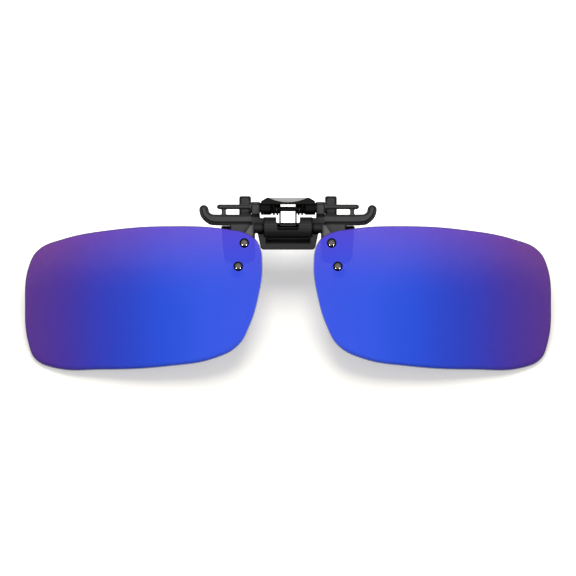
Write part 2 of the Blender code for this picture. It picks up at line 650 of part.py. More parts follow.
def pad_outline(inner_x, width, top_z, bottom_z, taper):
    """A pad in X and Z, square at the top, rounded at the bottom, its outer side leaning in by taper."""
    outer_x = inner_x + width
    return rounded([
        (inner_x, top_z, PAD_TOP_CORNER), (outer_x, top_z, PAD_TOP_CORNER),
        (outer_x - taper, bottom_z, PAD_CORNER), (inner_x, bottom_z, PAD_CORNER),
    ])


def front_pad(side_name, side):
    """Soft pad on the front body's tongue; its back is the grip plane."""
    bottom_z = FRONT_PAD_TOP_Z - FRONT_PAD_HEIGHT
    outline = pad_outline(FRONT_PAD_INNER_X, FRONT_PAD_WIDTH, FRONT_PAD_TOP_Z, bottom_z, 0)
    return plate(side_name + "_front_pad", mirrored(outline, side), -FRONT_PAD_THICKNESS, 0, FACING_FRONT)


def rear_pad(side_name, side):
    """Thick soft pad on the rear jaw's finger, facing the front pad."""
    bottom_z = REAR_PAD_TOP_Z - REAR_PAD_HEIGHT
    outline = pad_outline(REAR_PAD_INNER_X, REAR_PAD_WIDTH, REAR_PAD_TOP_Z, bottom_z, REAR_PAD_TAPER)
    return plate(side_name + "_rear_pad", mirrored(outline, side), PAD_GAP, REAR_PAD_BACK_Y, FACING_FRONT)


def rear_jaw():
    """One moulding: scooped lever, pivot ears with spring hubs, side beams and the rear pads' fingers."""
    lever_outline = [
        (-LEVER_HALF_WIDTH, LEVER_BOTTOM_Z), (LEVER_HALF_WIDTH, LEVER_BOTTOM_Z),
        (LEVER_HALF_WIDTH, LEVER_SHOULDER_Z), (LEVER_TOP_HALF_WIDTH, LEVER_TOP_Z),
        (-LEVER_TOP_HALF_WIDTH, LEVER_TOP_Z), (-LEVER_HALF_WIDTH, LEVER_SHOULDER_Z),
    ]
    jaw = plate("rear_jaw", lever_outline, LEVER_FRONT_Y, LEVER_BACK_Y, FACING_FRONT)
    for side_name, side in SIDES.items():
        for piece in rear_jaw_side(side_name, side):
            combine(jaw, piece, "UNION")
    combine(jaw, scoop_cutter(), "DIFFERENCE")
    for side_name, side in SIDES.items():
        span = sorted((side * (HUB_INNER_X - SIDE_GAP), side * (JAW_EAR_INNER_X - SEAT_GAP)))
        room = coil_room(side_name, span)
        combine(jaw, room, "DIFFERENCE")
    bore_length = JAW_EAR_OUTER_X + CUT_MARGIN
    bore = cylinder("jaw_bore", PIN_RADIUS + RUNNING_GAP, -bore_length, bore_length, (PIVOT_Y, PIVOT_Z), "X")
    combine(jaw, bore, "DIFFERENCE")
    return jaw


def coil_room(side_name, span):
    """The hollow round a spring coil: a fat cylinder with the hub left standing in it."""
    room_radius = COIL_RADIUS + WIRE_RADIUS + COIL_ROOM
    room = cylinder(side_name + "_coil_room", room_radius, *span, (PIVOT_Y, PIVOT_Z), "X")
    longer = (span[0] - CUT_MARGIN, span[1] + CUT_MARGIN)
    hub = cylinder(side_name + "_hub_kept", HUB_RADIUS, *longer, (PIVOT_Y, PIVOT_Z), "X")
    combine(room, hub, "DIFFERENCE")
    return room


def scoop_cutter():
    """A wide cylinder lying along Y, tilted so that its hollow deepens towards the lever's front edge."""
    length = LEVER_BACK_Y - LEVER_FRONT_Y + 4 * CUT_MARGIN
    slope = math.atan2(SCOOP_DEPTH, SCOOP_BACK_Y - LEVER_FRONT_Y)
    scoop = cylinder("lever_scoop", SCOOP_RADIUS, -length / 2, length / 2, (0, SCOOP_RADIUS), "Y", 72)
    place = Matrix.Translation(Vector((0, SCOOP_BACK_Y, LEVER_TOP_Z)) * MM)
    scoop.data.transform(place @ Matrix.Rotation(slope, 4, "X"))
    return scoop


def rear_jaw_side(side_name, side):
    """The shapes on one side of the rear jaw: pivot ear, spring hub, beam and finger."""
    def span(inner, outer):
        return sorted((side * inner, side * outer))

    ear_profile = []
    ear_steps = 10
    for step in range(ear_steps + 1):
        angle = math.radians(180 + step * 180 / ear_steps)
        y = PIVOT_Y + JAW_EAR_RADIUS * math.cos(angle)
        ear_profile.append((y, PIVOT_Z + JAW_EAR_RADIUS * math.sin(angle)))
    inside_lever = LEVER_BOTTOM_Z + JAW_OVERLAP
    ear_profile += [(PIVOT_Y + JAW_EAR_RADIUS, inside_lever), (PIVOT_Y - JAW_EAR_RADIUS, inside_lever)]
    ear = plate(side_name + "_jaw_ear", ear_profile, *span(JAW_EAR_INNER_X, JAW_EAR_OUTER_X), FACING_SIDE)
    hub_span = span(HUB_INNER_X, JAW_EAR_INNER_X + JAW_OVERLAP)
    hub = cylinder(side_name + "_hub", HUB_RADIUS, *hub_span, (PIVOT_Y, PIVOT_Z), "X")
    link_span = span(JAW_EAR_INNER_X + SEAT_GAP, JAW_EAR_OUTER_X - SEAT_GAP)
    link_bottom = BEAM_BOTTOM_Z + SEAT_GAP
    link_depth = (PIVOT_Y + JAW_EAR_RADIUS - JAW_OVERLAP, BEAM_FRONT_Y + JAW_OVERLAP)
    link = box(side_name + "_link", link_span, link_depth, (link_bottom, LEVER_BOTTOM_Z + JAW_OVERLAP / 2))
    beam = box(side_name + "_beam", span(JAW_EAR_INNER_X + SIDE_GAP, FINGER_INNER_X + JAW_OVERLAP),
               (BEAM_FRONT_Y, FINGER_BACK_Y - SEAT_GAP), (BEAM_BOTTOM_Z, BEAM_TOP_Z))
    finger_end = REAR_PAD_TOP_Z - REAR_PAD_HEIGHT + FINGER_END_MARGIN
    finger_outer_x = FINGER_INNER_X + FINGER_WIDTH
    outlines = []
    for inset in (0, FINGER_CHAMFER):
        inner, outer = FINGER_INNER_X + inset, finger_outer_x - inset
        top, end = FINGER_TOP_Z - inset, finger_end + inset
        outline = rounded([
            (inner, top, FINGER_TOP_CORNER), (outer, top, FINGER_TOP_CORNER),
            (outer, end, FINGER_END_CORNER), (inner, end, FINGER_END_CORNER),
        ])
        outlines.append(mirrored(outline, side))
    finger = chamfered_plate(
        side_name + "_finger", *outlines, FINGER_FRONT_Y, FINGER_FRONT_Y + FINGER_CHAMFER, FINGER_BACK_Y)
    return ear, hub, link, beam, finger


def spring_route():
    """Centre line of the double torsion spring: outer leg, coil, loop over the flip axle, coil, outer leg."""
    loop_reach = (AXLE_RADIUS + WIRE_RADIUS + SEAT_GAP) * math.sqrt(0.5)
    loop_y, loop_z = FLIP_Y - loop_reach, FLIP_Z + loop_reach
    steps = round((COIL_TURNS + COIL_EXIT_ANGLE / 360) * COIL_POINTS_PER_TURN)
    climb = Vector((0, PIVOT_Y - COIL_RADIUS - loop_y, PIVOT_Z - loop_z)).normalized() * LOOP_BEND
    corner = Vector((COIL_START_X, loop_y, loop_z))
    before_corner = corner - Vector((LOOP_BEND, 0, 0))
    round_corner = corner.lerp((before_corner + corner + climb) / 2, 0.5)
    half = [Vector((0, loop_y, loop_z)), before_corner, round_corner, corner + climb]
    full_angle = 2 * math.pi * COIL_TURNS + math.radians(COIL_EXIT_ANGLE)
    for step in range(steps + 1):
        angle = full_angle * step / steps
        x = COIL_START_X + COIL_PITCH * angle / (2 * math.pi)
        y = PIVOT_Y - COIL_RADIUS * math.cos(angle)
        half.append(Vector((x, y, PIVOT_Z + COIL_RADIUS * math.sin(angle))))
    leave = Vector((0, math.sin(full_angle), math.cos(full_angle)))
    under_lever = LEVER_BOTTOM_Z - WIRE_RADIUS - SEAT_GAP - half[-1].z
    half.append(half[-1] + leave * under_lever / leave.z)
    other = [Vector((-point.x, point.y, point.z)) for point in half[:0:-1]]
    return other + half


def clamp_spring():
    """One unbroken wire along the spring's route; its least gap to itself is measured and printed."""
    route = spring_route()
    curve = bpy.data.curves.new("clamp_spring", "CURVE")
    curve.dimensions = "3D"
    curve.bevel_depth = WIRE_RADIUS * MM
    curve.bevel_resolution = 1
    curve.use_fill_caps = True
    spline = curve.splines.new("POLY")
    spline.points.add(len(route) - 1)
    for point, place in zip(spline.points, route):
        point.co = (*(place * MM), 1)
    print(f"clamp_spring least gap to itself: {least_gap(route) - 2 * WIRE_RADIUS:.2f} mm")
    return finish_mesh("clamp_spring", mesh_from_curve("clamp_spring", curve, Matrix()))


def least_gap(route, piece=0.1):
    """Least distance between points of the route that lie more than a quarter turn of wire apart."""
    points, along = [], []
    travelled = 0.0
    for start, end in zip(route, route[1:]):
        length = (end - start).length
        count = max(1, round(length / piece))
        for k in range(count):
            points.append(start.lerp(end, k / count))
            along.append(travelled + length * k / count)
        travelled += length
    apart = math.pi / 2 * COIL_RADIUS
    least = travelled
    for i, here in enumerate(points):
        for j in range(i + 1, len(points)):
            if along[j] - along[i] > apart:
                least = min(least, (points[j] - here).length)
    return least


def material(name, colour, roughness, metallic):
    """A Principled material for one kind of piece."""
    made = bpy.data.materials.new(name)
    made.use_nodes = True
    shader = made.node_tree.nodes["Principled BSDF"]
    shader.inputs["Base Color"].default_value = (*colour, 1)
    shader.inputs["Roughness"].default_value = roughness
    shader.inputs["Metallic"].default_value = metallic
    return made


def body_empty(name, place):
    """An empty that carries the pieces of one moving body, standing on its joint axis."""
    empty = bpy.data.objects.new(name, None)
    PARTS.objects.link(empty)
    empty.location = Vector(place) * MM
    return empty


def dress(obj, finish, carrier):
    """Give a piece its material and hang it on its body's empty without moving it."""
    obj.data.materials.append(finish)
    obj.parent = carrier
    obj.matrix_parent_inverse = Matrix.Translation(carrier.location).inverted()


def build():
    """Make every piece, its material and the body that carries it."""
    black = (0.018, 0.018, 0.019)
    moulding = material("black_moulding", black, 0.5, 0.0)
    soft = material("soft_pad", (0.012, 0.012, 0.013), 0.8, 0.0)
    steel = material("pin_steel", (0.45, 0.45, 0.46), 0.3, 1.0)
    wire = material("spring_wire", (0.3, 0.3, 0.31), 0.3, 1.0)
    arm_finish = material("arm_moulding", (0.035, 0.034, 0.034), 0.35, 0.0)
    gunmetal = material("screw_gunmetal", (0.1, 0.09, 0.085), 0.3, 1.0)
    mirror_lens = material("blue_mirror_lens", (0.06, 0.1, 0.75), 0.08, 0.9)

    clip_body = body_empty("clip_body_axis", (0, 0, 0))
    jaw_body = body_empty("clamp_axis", (0, PIVOT_Y, PIVOT_Z))
    flip_body = body_empty("lens_flip_axis", (0, FLIP_Y, FLIP_Z))

    dress(front_body(), moulding, clip_body)
    pin = cylinder("pivot_pin", PIN_RADIUS, -PIN_HALF_LENGTH, PIN_HALF_LENGTH, (PIVOT_Y, PIVOT_Z), "X")
    dress(pin, steel, clip_body)
    dress(clamp_spring(), wire, clip_body)
    dress(rear_jaw(), moulding, jaw_body)
    dress(flip_axle(), steel, flip_body)
    for side_name, side in SIDES.items():
        dress(front_pad(side_name, side), soft, clip_body)
        dress(rear_pad(side_name, side), soft, jaw_body)
        dress(lens_arm(side_name, side), arm_finish, flip_body)
        dress(lens(side_name, side), mirror_lens, flip_body)
        for level, x, z in SCREW_POINTS:
            dress(lens_screw(side_name, side, level, x, z), gunmetal, flip_body)
            dress(lens_nut(side_name, side, level, x, z), gunmetal, flip_body)


build()
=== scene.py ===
# %% [markdown]
# # Clip-on flip lenses
# Two blue mirrored sun lenses hang on a small hinge, and a sprung clip holds the hinge on the bridge of a
# pair of spectacles. The solids come packed from the CAD step. This lesson dresses them: it keeps their
# places, swaps the faceted shapes for finer ones, and gives every piece a finish made of shader nodes.

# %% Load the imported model
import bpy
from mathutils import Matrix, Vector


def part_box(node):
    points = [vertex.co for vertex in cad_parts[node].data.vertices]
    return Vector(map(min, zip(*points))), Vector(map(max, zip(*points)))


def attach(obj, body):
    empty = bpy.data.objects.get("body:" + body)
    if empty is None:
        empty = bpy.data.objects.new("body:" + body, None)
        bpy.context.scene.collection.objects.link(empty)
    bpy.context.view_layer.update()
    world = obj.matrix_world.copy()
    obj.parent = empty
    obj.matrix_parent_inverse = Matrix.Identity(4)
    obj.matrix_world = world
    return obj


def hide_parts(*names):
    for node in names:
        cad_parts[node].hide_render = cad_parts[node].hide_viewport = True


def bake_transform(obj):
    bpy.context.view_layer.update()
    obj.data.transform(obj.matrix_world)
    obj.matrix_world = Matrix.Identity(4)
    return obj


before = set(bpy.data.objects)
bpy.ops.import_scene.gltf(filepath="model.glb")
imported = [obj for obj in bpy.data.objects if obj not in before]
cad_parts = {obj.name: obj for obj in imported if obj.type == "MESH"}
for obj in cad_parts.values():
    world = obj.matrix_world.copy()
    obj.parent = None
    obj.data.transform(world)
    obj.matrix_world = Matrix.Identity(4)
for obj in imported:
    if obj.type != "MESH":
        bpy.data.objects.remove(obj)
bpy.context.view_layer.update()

# %% [markdown]
# ## Tools for the whole lesson
# Lengths are written in millimetres, because the clip is small, and turned into metres where a mesh is made.

# %% Imports and the unit
import math

import bmesh
import bpy
import numpy as np

MM = 0.001
SIDES = {"left": -1, "right": 1}

# %% [markdown]
# ## Camera
# The photograph looks straight at the lenses from the front, with hardly any perspective. A long lens far
# away does the same. The field of view follows from the width that the picture covers at the lenses.

# %% Camera
PICTURE_WIDTH = 144.6
PICTURE_MIDDLE_Z = -12.05
LENS_PLANE_Y = -4.7
CAMERA_DISTANCE = 2500.0
NEAREST_SEEN = 10.0

camera_data = bpy.data.cameras.new("photo_camera")
camera_data.angle = 2 * math.atan(PICTURE_WIDTH / 2 / CAMERA_DISTANCE)
camera_data.clip_start = NEAREST_SEEN * MM
camera = bpy.data.objects.new("photo_camera", camera_data)
camera.location = (0, (LENS_PLANE_Y - CAMERA_DISTANCE) * MM, PICTURE_MIDDLE_Z * MM)
camera.rotation_euler = (math.pi / 2, 0, 0)
bpy.context.scene.collection.objects.link(camera)
bpy.context.scene.camera = camera
print("camera field of view:", round(math.degrees(camera_data.angle), 2), "degrees")

# %% [markdown]
# ## Small node helpers
# Every finish is a tree of shader nodes. A few short functions keep the trees readable: each adds one node,
# feeds its sockets with plain values or from other sockets, and returns what the node makes.

# %% Node helpers
def feed(tree, socket, source):
    """Link a socket to another node's socket, or give it a plain value."""
    if isinstance(source, bpy.types.NodeSocket):
        tree.links.new(source, socket)
    else:
        socket.default_value = source


def add_node(tree, kind, **values):
    """Add a node of one kind and set its properties or, where the name is a socket's, feed that socket."""
    node = tree.nodes.new(kind)
    for name, value in values.items():
        if hasattr(node, name):
            setattr(node, name, value)
        else:
            feed(tree, node.inputs[name.replace("_", " ").title()], value)
    return node


def calculate(tree, operation, *sources, clamp=False):
    """The result of a Math node on sockets or numbers."""
    node = add_node(tree, "ShaderNodeMath", operation=operation, use_clamp=clamp)
    for socket, source in zip(node.inputs, sources):
        feed(tree, socket, source)
    return node.outputs[0]


def map_range(tree, value, start, end, low=0.0, high=1.0, curve="LINEAR"):
    """The result of a Map Range node, which takes start..end to low..high."""
    node = add_node(tree, "ShaderNodeMapRange", interpolation_type=curve, value=value,
                    from_min=start, from_max=end, to_min=low, to_max=high)
    return node.outputs["Result"]


def millimetre_range(tree, value, start, end):
    """0 to 1 between two places in millimetres."""
    return map_range(tree, value, start * MM, end * MM)


def mix(tree, factor, below, above, kind="MIX"):
    """The colour of a Mix node of one kind: below at factor 0, above at factor 1."""
    node = add_node(tree, "ShaderNodeMix", data_type="RGBA", blend_type=kind, factor=factor, a=below, b=above)
    return node.outputs["Result"]


def noise(tree, vector, scale, detail, roughness=0.5):
    """The value of a Noise Texture on the given coordinates."""
    node = add_node(tree, "ShaderNodeTexNoise", vector=vector, scale=scale, detail=detail,
                    roughness=roughness)
    return node.outputs["Fac"]


def attribute(tree, name):
    """The value that a mesh carries under that name."""
    return add_node(tree, "ShaderNodeAttribute", attribute_name=name).outputs["Fac"]


def object_place(tree):
    """Coordinates in the piece's own frame, in metres."""
    return add_node(tree, "ShaderNodeTexCoord").outputs["Object"]


def split_axes(tree, vector):
    """The X, Y and Z of a vector."""
    return add_node(tree, "ShaderNodeSeparateXYZ", vector=vector).outputs

# %% [markdown]
# A group holds what several materials share. Each material places the group and sets its own values.

# %% Groups and materials
FLOAT, COLOUR = "NodeSocketFloat", "NodeSocketColor"
SKIN = [("Colour", COLOUR), ("Roughness", FLOAT), ("Height", FLOAT)]


def new_group(name, inputs):
    """A shader node group that gives a skin; inputs are (name, socket type, value)."""
    group = bpy.data.node_groups.new(name, "ShaderNodeTree")
    for label, kind, value in inputs:
        socket = group.interface.new_socket(label, in_out="INPUT", socket_type=kind)
        socket.default_value = value
    for label, kind in SKIN:
        group.interface.new_socket(label, in_out="OUTPUT", socket_type=kind)
    return group, group.nodes.new("NodeGroupInput").outputs, group.nodes.new("NodeGroupOutput").inputs


def principled(material):
    """The material's Principled shader."""
    return material.node_tree.nodes["Principled BSDF"]


def new_material(name):
    """A material with a Principled shader."""
    made = bpy.data.materials.new(name)
    made.use_nodes = True
    return made


def skinned_finish(name, group, bump, strength, values):
    """A material fed by a group with its own values; bump is the height of the relief in millimetres."""
    made = new_material(name)
    tree = made.node_tree
    skin = add_node(tree, "ShaderNodeGroup", node_tree=group, **values).outputs
    relief = add_node(tree, "ShaderNodeBump", distance=bump * MM, strength=strength)
    feed(tree, relief.inputs["Height"], skin["Height"])
    shader = principled(made)
    feed(tree, shader.inputs["Base Color"], skin["Colour"])
    feed(tree, shader.inputs["Roughness"], skin["Roughness"])
    feed(tree, shader.inputs["Normal"], relief.outputs["Normal"])
    return made

# %% [markdown]
# ## Mouldings: grain and painted shade
# The clip is injection-moulded plastic. Its tool leaves a very fine, dull grain. Its rounded edges are
# painted darker than
# the faces: painted shade standing for the dark reflections along them. The grain could be an image, but
# noise on Object coordinates costs nothing, has no seams and keeps its size on every piece. The edges come
# from an attribute of the mesh.

# %% Group: moulded grain
MOTTLE_SCALE, MOTTLE_DETAIL, MOTTLE_ROUGHNESS = 220.0, 3.0, 0.6
GRAIN_DETAIL = 2.0
GRAIN_STRENGTH = 0.6


def moulded_grain_group():
    """Two noises: a broad one mottles the colour, a fine one is the grain; the edge mask gives edges the edge
    colour, which on the plastic is a painted shade.
    """
    group, given, result = new_group("moulded_grain", [
        ("Dark", COLOUR, (0.01, 0.01, 0.01, 1)), ("Light", COLOUR, (0.02, 0.02, 0.02, 1)),
        ("Edge Colour", COLOUR, (0.05, 0.05, 0.05, 1)), ("Grain Scale", FLOAT, 5000.0),
        ("Roughness Low", FLOAT, 0.35), ("Roughness High", FLOAT, 0.5),
    ])
    place = object_place(group)
    mottle = noise(group, place, MOTTLE_SCALE, MOTTLE_DETAIL, MOTTLE_ROUGHNESS)
    grain = noise(group, place, given["Grain Scale"], GRAIN_DETAIL)
    edge = attribute(group, "edge")
    painted_edge_mask = calculate(group, "MULTIPLY_ADD", edge, mottle, edge, clamp=True)
    face = mix(group, mottle, given["Dark"], given["Light"])
    feed(group, result["Colour"], mix(group, painted_edge_mask, face, given["Edge Colour"]))
    rough = map_range(group, grain, 0.0, 1.0, given["Roughness Low"], given["Roughness High"])
    feed(group, result["Roughness"], rough)
    feed(group, result["Height"], grain)
    return group


moulded_grain = moulded_grain_group()
print("group:", moulded_grain.name)

# %% [markdown]
# The finishes of the mouldings and of the soft pads differ only in their values: the clip and its jaw are
# dark and dull, the lens arms are a lighter grey, a painted sheen for the light their glossy faces catch, and
# the rubber is the dullest.

# %% Materials: mouldings and rubber
def moulded_finish(name, bump, specular, **values):
    """A finish of the moulded grain, with the strength of its plain reflection."""
    made = skinned_finish(name, moulded_grain, bump, GRAIN_STRENGTH, values)
    principled(made).inputs["Specular IOR Level"].default_value = specular
    return made


WARMTH = 0.985


def grey(level):
    """A nearly neutral colour with full alpha."""
    return (level, level * WARMTH, level * WARMTH, 1)


# The edge colour of the clip is far darker than its faces: painted shade on the rounded edges.
CLIP_GRAIN = dict(
    bump=0.01, dark=grey(0.056), light=grey(0.094), edge_colour=grey(0.008),
    grain_scale=6000.0, roughness_low=0.28, roughness_high=0.42)
black_moulding = moulded_finish("black_moulding_grain", specular=0.3, **CLIP_GRAIN)
jaw_moulding = moulded_finish("jaw_moulding_grain", specular=0.15, **CLIP_GRAIN)
# The lens arms are made lighter grey than the clip: a painted sheen standing for light on their glossy black
# faces.
arm_sheen_moulding = moulded_finish(
    "arm_moulding_painted_sheen", bump=0.008, specular=0.35, dark=grey(0.15), light=grey(0.2),
    edge_colour=grey(0.05), grain_scale=7000.0, roughness_low=0.32, roughness_high=0.45)
soft_rubber = moulded_finish(
    "soft_pad_rubber", bump=0.02, specular=0.3, dark=grey(0.008), light=grey(0.014),
    edge_colour=grey(0.025), grain_scale=3500.0, roughness_low=0.6, roughness_high=0.8)
print("materials:", black_moulding.name, jaw_moulding.name, arm_sheen_moulding.name, soft_rubber.name)

# %% [markdown]
# The hooks, tabs and arms keep their colour, while towards the hinge in the middle the colour is darkened:
# painted shade for the shadow that falls there. The distance from the middle of the clip tells the two apart.

# %% Painted shade in the middle of the clip
def paint_shade_in_middle(finish, share, lean, inner_x, outer_x):
    """Painted shade: scale Base Color by share up to inner_x and by 1 from outer_x on, where the distance
    from the middle plane in mm counts, and lean times the height is added to it."""
    tree = finish.node_tree
    base = principled(finish).inputs["Base Color"]
    x, _, z = split_axes(tree, object_place(tree))
    outward = calculate(tree, "MULTIPLY_ADD", z, lean, calculate(tree, "ABSOLUTE", x))
    level = map_range(tree, outward, inner_x * MM, outer_x * MM, share, curve="SMOOTHSTEP")
    scaled = add_node(tree, "ShaderNodeVectorMath", operation="SCALE", scale=level)
    feed(tree, scaled.inputs[0], base.links[0].from_socket)
    feed(tree, base, scaled.outputs[0])


paint_shade_in_middle(black_moulding, share=0.34, lean=0.6, inner_x=10.5, outer_x=13.5)
paint_shade_in_middle(jaw_moulding, share=0.1, lean=0.0, inner_x=6.5, outer_x=9.0)
paint_shade_in_middle(arm_sheen_moulding, share=0.08, lean=0.0, inner_x=8.3, outer_x=9.4)
print("darkened in the middle:", black_moulding.name, jaw_moulding.name, arm_sheen_moulding.name)

# %% [markdown]
# ## Metal: drawn and turned steel
# The wire and pins are drawn through a die, so their fine scratches run along them; screw heads are turned,
# and the black on the rim of their domes is painted shade. A noise that is stretched along one axis draws
# such lines. The group takes the stretch as a scale for each axis.

# %% Group: drawn metal
STREAK_DETAIL = 3.0
PATCH_SCALE, PATCH_DETAIL = 400.0, 2.0
STREAK_STRENGTH = 0.4


def drawn_metal_group():
    """Noise on stretched Object coordinates gives streaks; a broad noise gives dull and bright patches."""
    group, given, result = new_group("drawn_metal", [
        ("Dark", COLOUR, (0.2, 0.2, 0.2, 1)), ("Light", COLOUR, (0.4, 0.4, 0.4, 1)),
        ("Stretch", "NodeSocketVector", (1.0, 1.0, 1.0)),
        ("Roughness Low", FLOAT, 0.2), ("Roughness High", FLOAT, 0.4),
    ])
    place = object_place(group)
    stretched = add_node(group, "ShaderNodeVectorMath", operation="MULTIPLY")
    feed(group, stretched.inputs[0], place)
    feed(group, stretched.inputs[1], given["Stretch"])
    streaks = noise(group, stretched.outputs["Vector"], 1.0, STREAK_DETAIL)
    patches = noise(group, place, PATCH_SCALE, PATCH_DETAIL)
    half_patches = calculate(group, "MULTIPLY", patches, 0.5)
    both = calculate(group, "MULTIPLY_ADD", streaks, 0.5, half_patches)
    feed(group, result["Colour"], mix(group, both, given["Dark"], given["Light"]))
    rough = map_range(group, both, 0.0, 1.0, given["Roughness Low"], given["Roughness High"])
    feed(group, result["Roughness"], rough)
    feed(group, result["Height"], streaks)
    return group


drawn_metal = drawn_metal_group()
print("group:", drawn_metal.name)

# %% Materials: pins, wire and screws
def metal_finish(name, bump, **values):
    """A metallic finish of the drawn metal group."""
    made = skinned_finish(name, drawn_metal, bump, STREAK_STRENGTH, values)
    principled(made).inputs["Metallic"].default_value = 1.0
    return made


# The pin steel is kept nearly black: painted shade for the dark hinge where the pins sit.
pin_steel = metal_finish(
    "pin_steel_drawn", bump=0.004, dark=(0.012, 0.012, 0.013, 1), light=(0.03, 0.03, 0.031, 1),
    stretch=(300.0, 5000.0, 5000.0), roughness_low=0.2, roughness_high=0.4)
spring_wire = metal_finish(
    "spring_wire_drawn", bump=0.003, dark=(0.04, 0.04, 0.042, 1), light=(0.1, 0.1, 0.1, 1),
    stretch=(2500.0, 2500.0, 2500.0), roughness_low=0.25, roughness_high=0.45)
nut_gunmetal = metal_finish(
    "nut_gunmetal_turned", bump=0.003, dark=(0.03, 0.028, 0.027, 1), light=(0.07, 0.065, 0.06, 1),
    stretch=(3000.0, 3000.0, 3000.0), roughness_low=0.2, roughness_high=0.35)
screw_dome_finish = metal_finish(
    "screw_gunmetal_polished", bump=0.002, dark=(0.13, 0.115, 0.105, 1), light=(0.22, 0.195, 0.175, 1),
    stretch=(3000.0, 3000.0, 3000.0), roughness_low=0.05, roughness_high=0.09)
print("materials:", pin_steel.name, spring_wire.name, nut_gunmetal.name, screw_dome_finish.name)

# %% [markdown]
# The domes keep the metal's lighter colour on the crown and turn black towards the rim: painted shade for the
# dark reflection round a dome's edge. The mesh will carry that as an attribute called crown, which is 1 at
# the top of the dome and 0 at its rim.

# %% Painted shade on the rim of the screw domes
SCREW_RIM_SHADE = (0.012, 0.012, 0.013, 1)
UNSHADED_CROWN = (0.15, 0.7)


def paint_shade_on_rim(finish):
    """Put a Mix node before Base Color that keeps the metal's colour on the crown only and paints shade
    towards the rim.
    """
    tree = finish.node_tree
    base = principled(finish).inputs["Base Color"]
    bare = map_range(tree, attribute(tree, "crown"), *UNSHADED_CROWN, curve="SMOOTHSTEP")
    feed(tree, base, mix(tree, bare, SCREW_RIM_SHADE, base.links[0].from_socket))


paint_shade_on_rim(screw_dome_finish)
print("blackened:", screw_dome_finish.name)

# %% [markdown]
# ## The mouldings with their rounded edges
# The front body, the rear jaw and the lens arms are each one shot of plastic. Where their walls meet, the
# real mouldings have small fillets, and no outer edge is sharp. A Bevel modifier could round the edges, but
# it leaves the inner corners square and fails on slivers. So a copy of the CAD mesh is merged, remeshed
# into small even cells, which fuses everything into one skin, and relaxed: each point moves towards the
# mean of its neighbours, which rounds edges and fills corners alike, as a mould does.

# %% Relaxing a mesh with whole arrays
def mesh_points(mesh):
    """The mesh's points as an array of rows x, y, z."""
    points = np.empty(len(mesh.vertices) * 3)
    mesh.vertices.foreach_get("co", points)
    return points.reshape(-1, 3)


def neighbour_mean(points, edges, degree):
    """For each point, the mean of the points that its edges lead to."""
    total = np.empty_like(points)
    for axis in range(3):
        along = points[:, axis]
        total[:, axis] = np.bincount(edges[:, 0], along[edges[:, 1]], len(points))
        total[:, axis] += np.bincount(edges[:, 1], along[edges[:, 0]], len(points))
    return total / degree[:, None]


PULL, PUSH = 0.5, -0.45
EDGE_SHARE = 0.08


def relax(mesh, rounds):
    """Each round moves every point the share PULL of the way to the mean of its neighbours, and then the
    share PUSH, which is away from it: that keeps thin walls from shrinking, and corners stay rounded."""
    edges = np.empty(len(mesh.edges) * 2, dtype=np.int32)
    mesh.edges.foreach_get("vertices", edges)
    edges = edges.reshape(-1, 2)
    points = mesh_points(mesh)
    degree = np.bincount(edges.ravel(), minlength=len(points))
    for share in (PULL, PUSH) * rounds:
        points += share * (neighbour_mean(points, edges, degree) - points)
    mesh.vertices.foreach_set("co", points.ravel())
    mesh.update()
    return points, edges, degree


def mark_edges(mesh, points, edges, degree, cell):
    """Store how far each point stands proud of its neighbours' mean: 1 is EDGE_SHARE of a cell or more."""
    normals = np.empty(len(points) * 3)
    mesh.vertex_normals.foreach_get("vector", normals)
    proud = np.sum((points - neighbour_mean(points, edges, degree)) * normals.reshape(-1, 3), axis=1)
    edge = np.clip(proud / (EDGE_SHARE * cell), 0, 1)
    mesh.attributes.new("edge", "FLOAT", "POINT").data.foreach_set("value", edge)

# %% A fused copy of a CAD node
CLIP_CELL, ARM_CELL = 0.14, 0.1
RELAX_ROUNDS = 3
WELD = 0.0005


def fused_copy(node, name, cell, finish, body):
    """Merge a copy of the node's triangles, remesh it into cells of that size, relax it and dress it."""
    merged = bmesh.new()
    merged.from_mesh(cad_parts[node].data)
    bmesh.ops.remove_doubles(merged, verts=merged.verts, dist=WELD * MM)
    rough = bpy.data.meshes.new(name + "_merged")
    merged.to_mesh(rough)
    merged.free()
    source = bpy.data.objects.new(name + "_merged", rough)
    bpy.context.scene.collection.objects.link(source)
    remesh = source.modifiers.new("cells", "REMESH")
    remesh.mode = "VOXEL"
    remesh.voxel_size = cell * MM
    remesh.adaptivity = 0.0
    evaluated = source.evaluated_get(bpy.context.evaluated_depsgraph_get())
    mesh = bpy.data.meshes.new_from_object(evaluated)
    bpy.data.objects.remove(source)
    bpy.data.meshes.remove(rough)
    mesh.name = name
    mark_edges(mesh, *relax(mesh, RELAX_ROUNDS), cell * MM)
    mesh.shade_smooth()
    mesh.materials.clear()
    mesh.materials.append(finish)
    piece = bpy.data.objects.new(name, mesh)
    bpy.context.scene.collection.objects.link(piece)
    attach(piece, body)
    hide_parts(node)
    print(name, "faces:", len(mesh.polygons))
    return piece


fused_copy("front_body", "front_body_moulding", CLIP_CELL, black_moulding, "clip_body")
jaw = fused_copy("rear_jaw", "rear_jaw_moulding", CLIP_CELL, jaw_moulding, "rear_jaw")
for side_name in SIDES:
    arm = side_name + "_lens_arm"
    fused_copy(arm, arm + "_moulding", ARM_CELL, arm_sheen_moulding, "lens_flip")

# %% [markdown]
# The lever is pressed by a thumb, which keeps its hollow top glossy. The gloss is a clear coat in the
# material; its weight is an attribute that is highest where the jaw's surface looks up in the hollow.

# %% Thumb polish on the lever
HOLLOW_LOW_Z = 9.2
HOLLOW_HALF_WIDTH = 5.6
HOLLOW_GLOSS = 0.6
HOLLOW_COAT_ROUGHNESS = 0.12
UPWARD_FROM, UPWARD_TO = 0.6, 0.9


